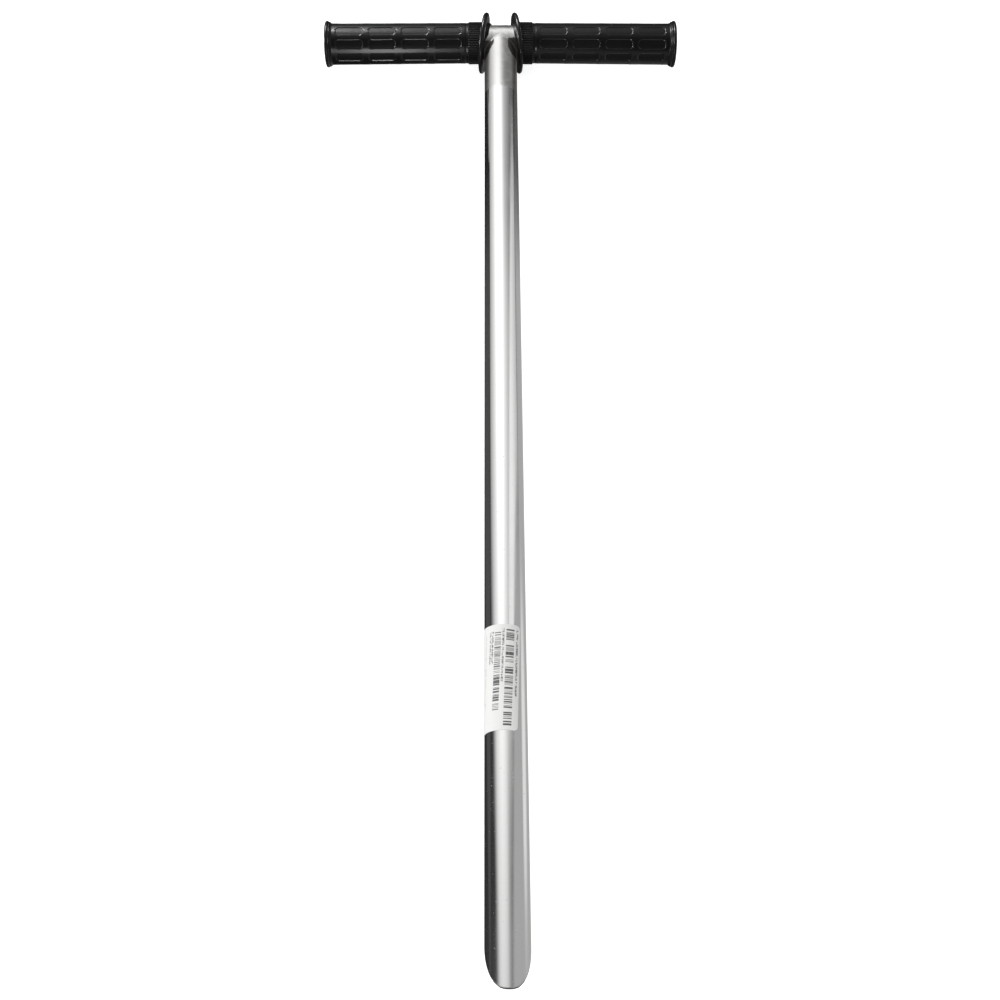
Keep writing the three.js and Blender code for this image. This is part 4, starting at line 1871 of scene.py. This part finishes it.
@dataclass(frozen=True)
class PhotoCamera:
    """The photograph's camera, from where the handle and the tube's vanishing point lie in it.

    Attributes:
        focal: Lens in mm.
        sensor: Width of the sensor in mm.
        pixels: Width of the picture.
        handle: Pixel of the handle bar's middle.
        vanishing: Pixel that the tube points at, away from the tongue.
        distance: Distance from the lens to the handle bar's middle, in metres.
    """

    focal: float = 50.0
    sensor: float = 36.0
    pixels: float = 1000.0
    handle: tuple[float, float] = (500.5, 43.2)
    vanishing: tuple[float, float] = (485.5, -1825.0)
    distance: float = 1.1477

    def ray(self, pixel: tuple[float, float]) -> Vector:
        """Finds where a pixel looks.

        Args:
            pixel: Its place from the upper left corner.

        Returns:
            Its direction in the camera's axes.
        """
        scale = self.pixels * self.focal / self.sensor
        middle = self.pixels / 2
        return Vector((pixel[0] - middle, middle - pixel[1], -scale)).normalized()

    def place(self, frame: ProbeFrame) -> bpy.types.Object:
        """Makes the camera and puts it where the photograph was taken from.

        Args:
            frame: The probe's own axes.

        Returns:
            The camera.
        """
        up_tube = self.ray(self.vanishing)
        handle = self.ray(self.handle)
        level = handle.y / handle.z
        bar = Vector((0, 1, -level)).cross(up_tube).normalized()
        bar = -bar if bar.x < 0 else bar
        normal = bar.cross(up_tube)
        seen = Matrix((bar, up_tube, normal)).transposed()
        turn = frame.matrix().to_3x3().normalized() @ seen.transposed()
        data = bpy.data.cameras.new("camera")
        data.lens = self.focal
        data.sensor_width = self.sensor
        data.clip_start = 0.01
        camera = bpy.data.objects.new("camera", data)
        bpy.context.scene.collection.objects.link(camera)
        location = frame.origin - turn @ (handle * self.distance)
        camera.matrix_world = Matrix.Translation(location) @ turn.to_4x4()
        bpy.context.scene.camera = camera
        return camera


@dataclass(frozen=True)
class StripLight:
    """A soft light for the black grips alone, in metres and watts.

    Attributes:
        name: Its name.
        place: Where its middle is.
        target: The point that it faces.
        size: Its width along X and its height.
        power: Its power.
    """

    name: str
    place: tuple[float, float, float]
    target: tuple[float, float, float]
    size: tuple[float, float]
    power: float

    def hang(self, grips: list[bpy.types.Object]) -> None:
        """Makes the light and links it to the grips, so that it lights nothing else.

        Args:
            grips: The pieces that it lights.
        """
        data = bpy.data.lights.new(self.name, "AREA")
        data.shape = "RECTANGLE"
        data.size, data.size_y = self.size
        data.energy = self.power
        lamp = bpy.data.objects.new(self.name, data)
        lamp.location = self.place
        way = Vector(self.place) - Vector(self.target)
        lamp.rotation_euler = way.to_track_quat("Z", "X").to_euler()
        bpy.context.scene.collection.objects.link(lamp)
        lit = bpy.data.collections.new(self.name + "_lights")
        for grip in grips:
            lit.objects.link(grip)
        lamp.light_linking.receiver_collection = lit


GRIP_LIGHTS = (
    StripLight("rear_strip", (-0.30, 0.80, 0.60), (-0.10, 0.35, 0.03), (0.36, 0.12), 11.5),
    StripLight("front_strip", (-0.12, -0.35, 0.04), (-0.09, 0.35, 0.03), (0.30, 0.07), 1.9),
    StripLight("left_strip", (-1.25, 0.44, 0.24), (0.0, 0.35, 0.03), (0.24, 0.24), 14.0),
)


@dataclass
class Sky(Graph):
    """The world's graph, with the direction that the world is seen in.

    Attributes:
        way: The whole direction, of length 1.
        x: Its part to the right along the handle.
        y: Its part away from the tongue.
        z: Its part upwards.
    """

    way: Value
    x: Value
    y: Value
    z: Value

    @classmethod
    def over(cls, tree: bpy.types.NodeTree) -> "Sky":
        """Starts a world's graph.

        Args:
            tree: The world's empty node tree.

        Returns:
            The graph.
        """
        graph = Graph(tree)
        way = graph.node("ShaderNodeTexCoord").outputs["Generated"]
        return cls(tree, way, *graph.split(way))


@dataclass(frozen=True)
class StudioLight:
    """The studio that the steel mirrors, and the even light that everything else gets.

    Attributes:
        key: Direction to the middle of the large softbox.
        falloff: Its brightness by the angle from that direction in degrees.
        box_slant: Slope along X and Y of the plane that cuts off the softbox.
        pale_light: Brightness of the pale wall on the right at its foot and high up.
        grey_light: Brightness of the grey wall at its left edge and beyond.
        rear_light: Brightness of the box behind the tongue, low and high.
        floor_right: Brightness of the floor in the middle and on the right.
        floor_black: Brightness of the black paper on the left of the floor.
        pool: Brightness of the pool of light on the right of the floor.
        pool_middle: Y and Z of the pool's middle.
        pool_size: Its half sizes along Y and Z.
        floor_far: Brightness of the floor beyond the handle.
        floor_rear: Brightness of the floor behind the tongue's end.
        front_strip: Brightness of the strip under the front.
        dark_turn: Angles in degrees between which the floor turns black.
        dark_twist: How fast the black paper's edge turns along Y.
        dark_from: Y of the place where those angles are measured.
        plain: Brightness of the even light.
        tilt: How much stronger the even light is from the left than from above.
        scale: The brightness that 1 stands for in the panels.
    """

    key: tuple[float, float, float] = (-0.28, 0.66, 0.70)
    falloff: tuple[tuple[float, float], ...] = (
        (0.0, 1.70), (15.0, 1.45), (21.0, 1.17), (27.0, 0.96),
        (37.0, 0.70), (47.0, 0.49), (57.0, 0.245), (75.0, 0.12),
    )
    box_slant: tuple[float, float] = (1.668, 2.811)
    pale_light: tuple[float, float] = (0.60, 1.03)
    grey_light: tuple[float, float] = (0.16, 0.46)
    rear_light: tuple[float, float] = (0.45, 1.0)
    floor_right: tuple[float, float] = (0.08, 0.47)
    floor_black: float = 0.035
    pool: float = 0.90
    pool_middle: tuple[float, float] = (0.355, -0.24)
    pool_size: tuple[float, float] = (0.12, 0.32)
    floor_far: float = 0.03
    floor_rear: float = 0.40
    front_strip: float = 0.8
    dark_turn: tuple[float, float] = (-117.0, -122.0)
    dark_twist: float = 2.6
    dark_from: float = 0.343
    plain: float = 1.0
    tilt: float = 0.62
    scale: float = 2.0

    def light_up(self) -> None:
        """Makes the world."""
        world = bpy.data.worlds.new("studio")
        bpy.context.scene.world = world
        world.use_nodes = True
        tree = world.node_tree
        tree.nodes.clear()
        sky = Sky.over(tree)
        path = sky.node("ShaderNodeLightPath").outputs
        lean = sky.times(path["Is Diffuse Ray"], sky.times(sky.x, -self.tilt))
        plain = sky.node("ShaderNodeBackground", {"Color": sky.plus(lean, 1.0),
                                                  "Strength": self.plain})
        glossy = sky.node("ShaderNodeBackground", {"Color": self.panels(sky),
                                                   "Strength": self.scale})
        mixed = sky.node("ShaderNodeMixShader", {0: path["Is Glossy Ray"], 1: plain.outputs[0],
                                                 2: glossy.outputs[0]})
        sky.node("ShaderNodeOutputWorld", {"Surface": mixed.outputs[0]})

    def step(self, sky: Sky, value: Value, low: float, high: float,
             light: tuple[float, float]) -> Value:
        """Returns a smooth step between two brightnesses, divided by the scale."""
        return sky.ramp(value, low, high, light[0] / self.scale, light[1] / self.scale)

    def panels(self, sky: Sky) -> Value:
        """Builds the softboxes, walls and floor that polished steel mirrors.

        Args:
            sky: The world's graph.

        Returns:
            Their colour by direction, divided by the scale.
        """
        upper = sky.math("MAXIMUM", self.grey_wall(sky), self.pale_wall(sky))
        upper = sky.math("MAXIMUM", upper, self.softbox(sky))
        aside = sky.ramp(sky.math("ABSOLUTE", sky.x), 0.20, 0.50)
        behind = sky.times(aside, sky.ramp(sky.y, 0.12, -0.02))
        rear_box = sky.times(self.step(sky, sky.z, 0.0, 0.75, self.rear_light),
                             sky.ramp(sky.z, 0.02, 0.12))
        upper = sky.math("MAXIMUM", upper, sky.times(behind, rear_box))
        floor = sky.blend(behind, self.floor(sky), self.floor_rear / self.scale)
        below_horizon = sky.ramp(sky.z, 0.0, -0.04)
        return sky.blend(below_horizon, upper, floor)

    def softbox(self, sky: Sky) -> Value:
        """Builds the large softbox, which fades to the upper and the lower right.

        Args:
            sky: The world's graph.

        Returns:
            Its brightness, divided by the scale.
        """
        widest = 90
        middle = tuple(Vector(self.key).normalized())
        near = sky.vector("DOT_PRODUCT", sky.way, middle, out="Value")
        angle = sky.times(sky.math("ARCCOSINE", near), 180 / math.pi / widest)
        box = sky.line(angle, [(a / widest, v / self.scale) for a, v in self.falloff])
        slant = sky.plus(sky.times(sky.x, self.box_slant[0]),
                         sky.times(sky.y, self.box_slant[1]), sky.z)
        in_box = sky.times(sky.ramp(slant, -0.48, 0.42),
                           sky.ramp(sky.z, -0.02, 0.11),
                           sky.ramp(sky.y, 0.80, 0.95, 1.0, 0.15))
        high_right = sky.times(sky.ramp(sky.x, -0.12, 0.30), sky.ramp(sky.y, 0.60, 0.69))
        low_right = sky.times(sky.ramp(sky.x, -0.05, 0.35), sky.ramp(sky.y, 0.40, 0.22))
        return sky.times(box, in_box, sky.times_plus(high_right, -0.35, 1.0),
                         sky.times_plus(low_right, -0.50, 1.0))

    def pale_wall(self, sky: Sky) -> Value:
        """Builds the pale wall on the right, past the tip of the softbox.

        Args:
            sky: The world's graph.

        Returns:
            Its brightness, divided by the scale.
        """
        near_edge = sky.minus(sky.x, sky.minus(sky.y, sky.times(sky.z, 0.155)))
        far_edge = sky.minus(sky.y, sky.times(sky.x, 0.6))
        wall = sky.times(sky.ramp(near_edge, -0.05, 0.05), sky.ramp(far_edge, -0.05, 0.05),
                         sky.ramp(sky.z, 0.0, 0.05), sky.ramp(sky.y, 0.33, 0.42))
        return sky.times(wall, self.step(sky, sky.z, 0.0, 0.66, self.pale_light))

    def grey_wall(self, sky: Sky) -> Value:
        """Builds the grey wall that shows where no panel covers it.

        Args:
            sky: The world's graph.

        Returns:
            Its brightness, divided by the scale.
        """
        edge = sky.minus(sky.x, sky.times_plus(sky.y, 1.17, 0.10))
        return sky.times(self.step(sky, edge, 0.0, 0.20, self.grey_light),
                         sky.ramp(sky.x, -0.2, 0.1, 0.25, 1.0),
                         sky.ramp(sky.y, 0.40, 0.62, 1.0, 0.45),
                         sky.ramp(sky.y, -0.10, 0.20, 0.15, 1.0))

    def floor(self, sky: Sky) -> Value:
        """Builds what lies below the horizon.

        Args:
            sky: The world's graph.

        Returns:
            Its brightness, divided by the scale.
        """
        right = sky.times(self.step(sky, sky.x, -0.12, 0.15, self.floor_right),
                          sky.ramp(sky.y, 0.64, 0.71, 1.0, 0.25))
        turn = sky.times_plus(sky.math("MAXIMUM", sky.y, 0.15), self.dark_twist,
                              sky.math("ARCTAN2", sky.x, sky.z))
        turn = sky.minus(turn, self.dark_from * self.dark_twist)
        black = sky.ramp(turn, *(math.radians(angle) for angle in self.dark_turn))
        on_left = sky.math("LESS_THAN", turn, -1.0)
        lit = sky.blend(sky.times(black, on_left), right, self.floor_black / self.scale)
        across = sky.math("DIVIDE", sky.minus(sky.y, self.pool_middle[0]), self.pool_size[0])
        upward = sky.math("DIVIDE", sky.plus(sky.z, -self.pool_middle[1]), self.pool_size[1])
        reach = sky.times_plus(across, across, sky.times(upward, upward))
        in_pool = sky.times(sky.ramp(reach, 1.3, 0.1), sky.ramp(sky.x, 0.3, 0.6))
        lit = sky.blend(in_pool, lit, self.pool / self.scale)
        beyond = sky.times(sky.ramp(sky.z, 0.08, -0.06), sky.ramp(sky.y, 0.70, 0.85))
        lit = sky.blend(beyond, lit, self.floor_far / self.scale)
        strip = sky.times(sky.ramp(sky.y, -0.74, -0.86), sky.ramp(sky.z, -0.55, -0.45))
        return sky.math("MAXIMUM", lit, sky.times(strip, self.front_strip / self.scale))


@dataclass(frozen=True)
class Floor:
    """The plain pale floor.

    Attributes:
        reach: How far it spreads each way, in metres.
        tint: Its colour.
        cloud_tint: Colour of the faint clouds on it.
        cloud: How strong they are.
        rough: Its roughness.
        glow: Light of its own.
    """

    reach: float = 6.0
    tint: Colour = (0.93, 0.93, 0.93, 1)
    cloud_tint: Colour = (0.9, 0.9, 0.9, 1)
    cloud: float = 0.04
    rough: float = 0.9
    glow: float = 0.80

    def lay(self) -> None:
        """Makes the floor, which isn't part of the object."""
        mesh = bpy.data.meshes.new("floor")
        steps = np.linspace(-self.reach, self.reach, 3)
        corners = [(x, y, 0.0) for y in steps for x in steps]
        mesh.from_pydata(corners, [], grid_faces(3, 3, False))
        floor = bpy.data.objects.new("floor", mesh)
        bpy.context.scene.collection.objects.link(floor)
        material, graph, shader = start_material("floor_paper")
        clouds = graph.times(graph.noise(object_place(graph), 2.0, 2), self.cloud)
        shade = graph.mix(clouds, self.tint, self.cloud_tint)
        graph.feed(shader.inputs["Base Color"], shade)
        shader.inputs["Roughness"].default_value = self.rough
        graph.feed(shader.inputs["Emission Color"], shade)
        shader.inputs["Emission Strength"].default_value = self.glow
        mesh.materials.append(material)
        floor.visible_glossy = False
        floor.visible_diffuse = False


def main() -> None:
    """Builds the probe, dresses it and sets up the studio."""
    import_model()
    tube = SamplingTube()
    bar = HandleBar()
    frame = ProbeFrame.from_cad(tube.axis_to_tip - tube.slot_length, tube.radius)
    effects = SharedEffects.make()
    rubber = GripRubber().make(effects)
    made = [
        (tube.build(frame, bar.radius), PolishedSteel().make(effects)),
        (bar.build(frame), BrushedSteel().make(effects)),
        (SaddleWeld().build(frame, tube, bar), WeldMetal().make(effects)),
        (MouldedGrip(Side.LEFT, boss=2.6).build(frame), rubber),
        (MouldedGrip(Side.RIGHT).build(frame), rubber),
        (PaperLabel().build(frame, tube), LabelPaper().make(effects)),
    ]
    for piece, material in made:
        piece.data.materials.append(material)
        log.info("%s: %d faces", piece.name, len(piece.data.polygons))
    Floor().lay()
    StudioLight().light_up()
    grips = [piece for piece, material in made if material is rubber]
    for strip in GRIP_LIGHTS:
        strip.hang(grips)
    PhotoCamera().place(frame)
    bpy.context.scene.view_settings.view_transform = "Standard"


if __name__ == "__main__":
    logging.basicConfig(level=logging.INFO, format="%(message)s")
    main()
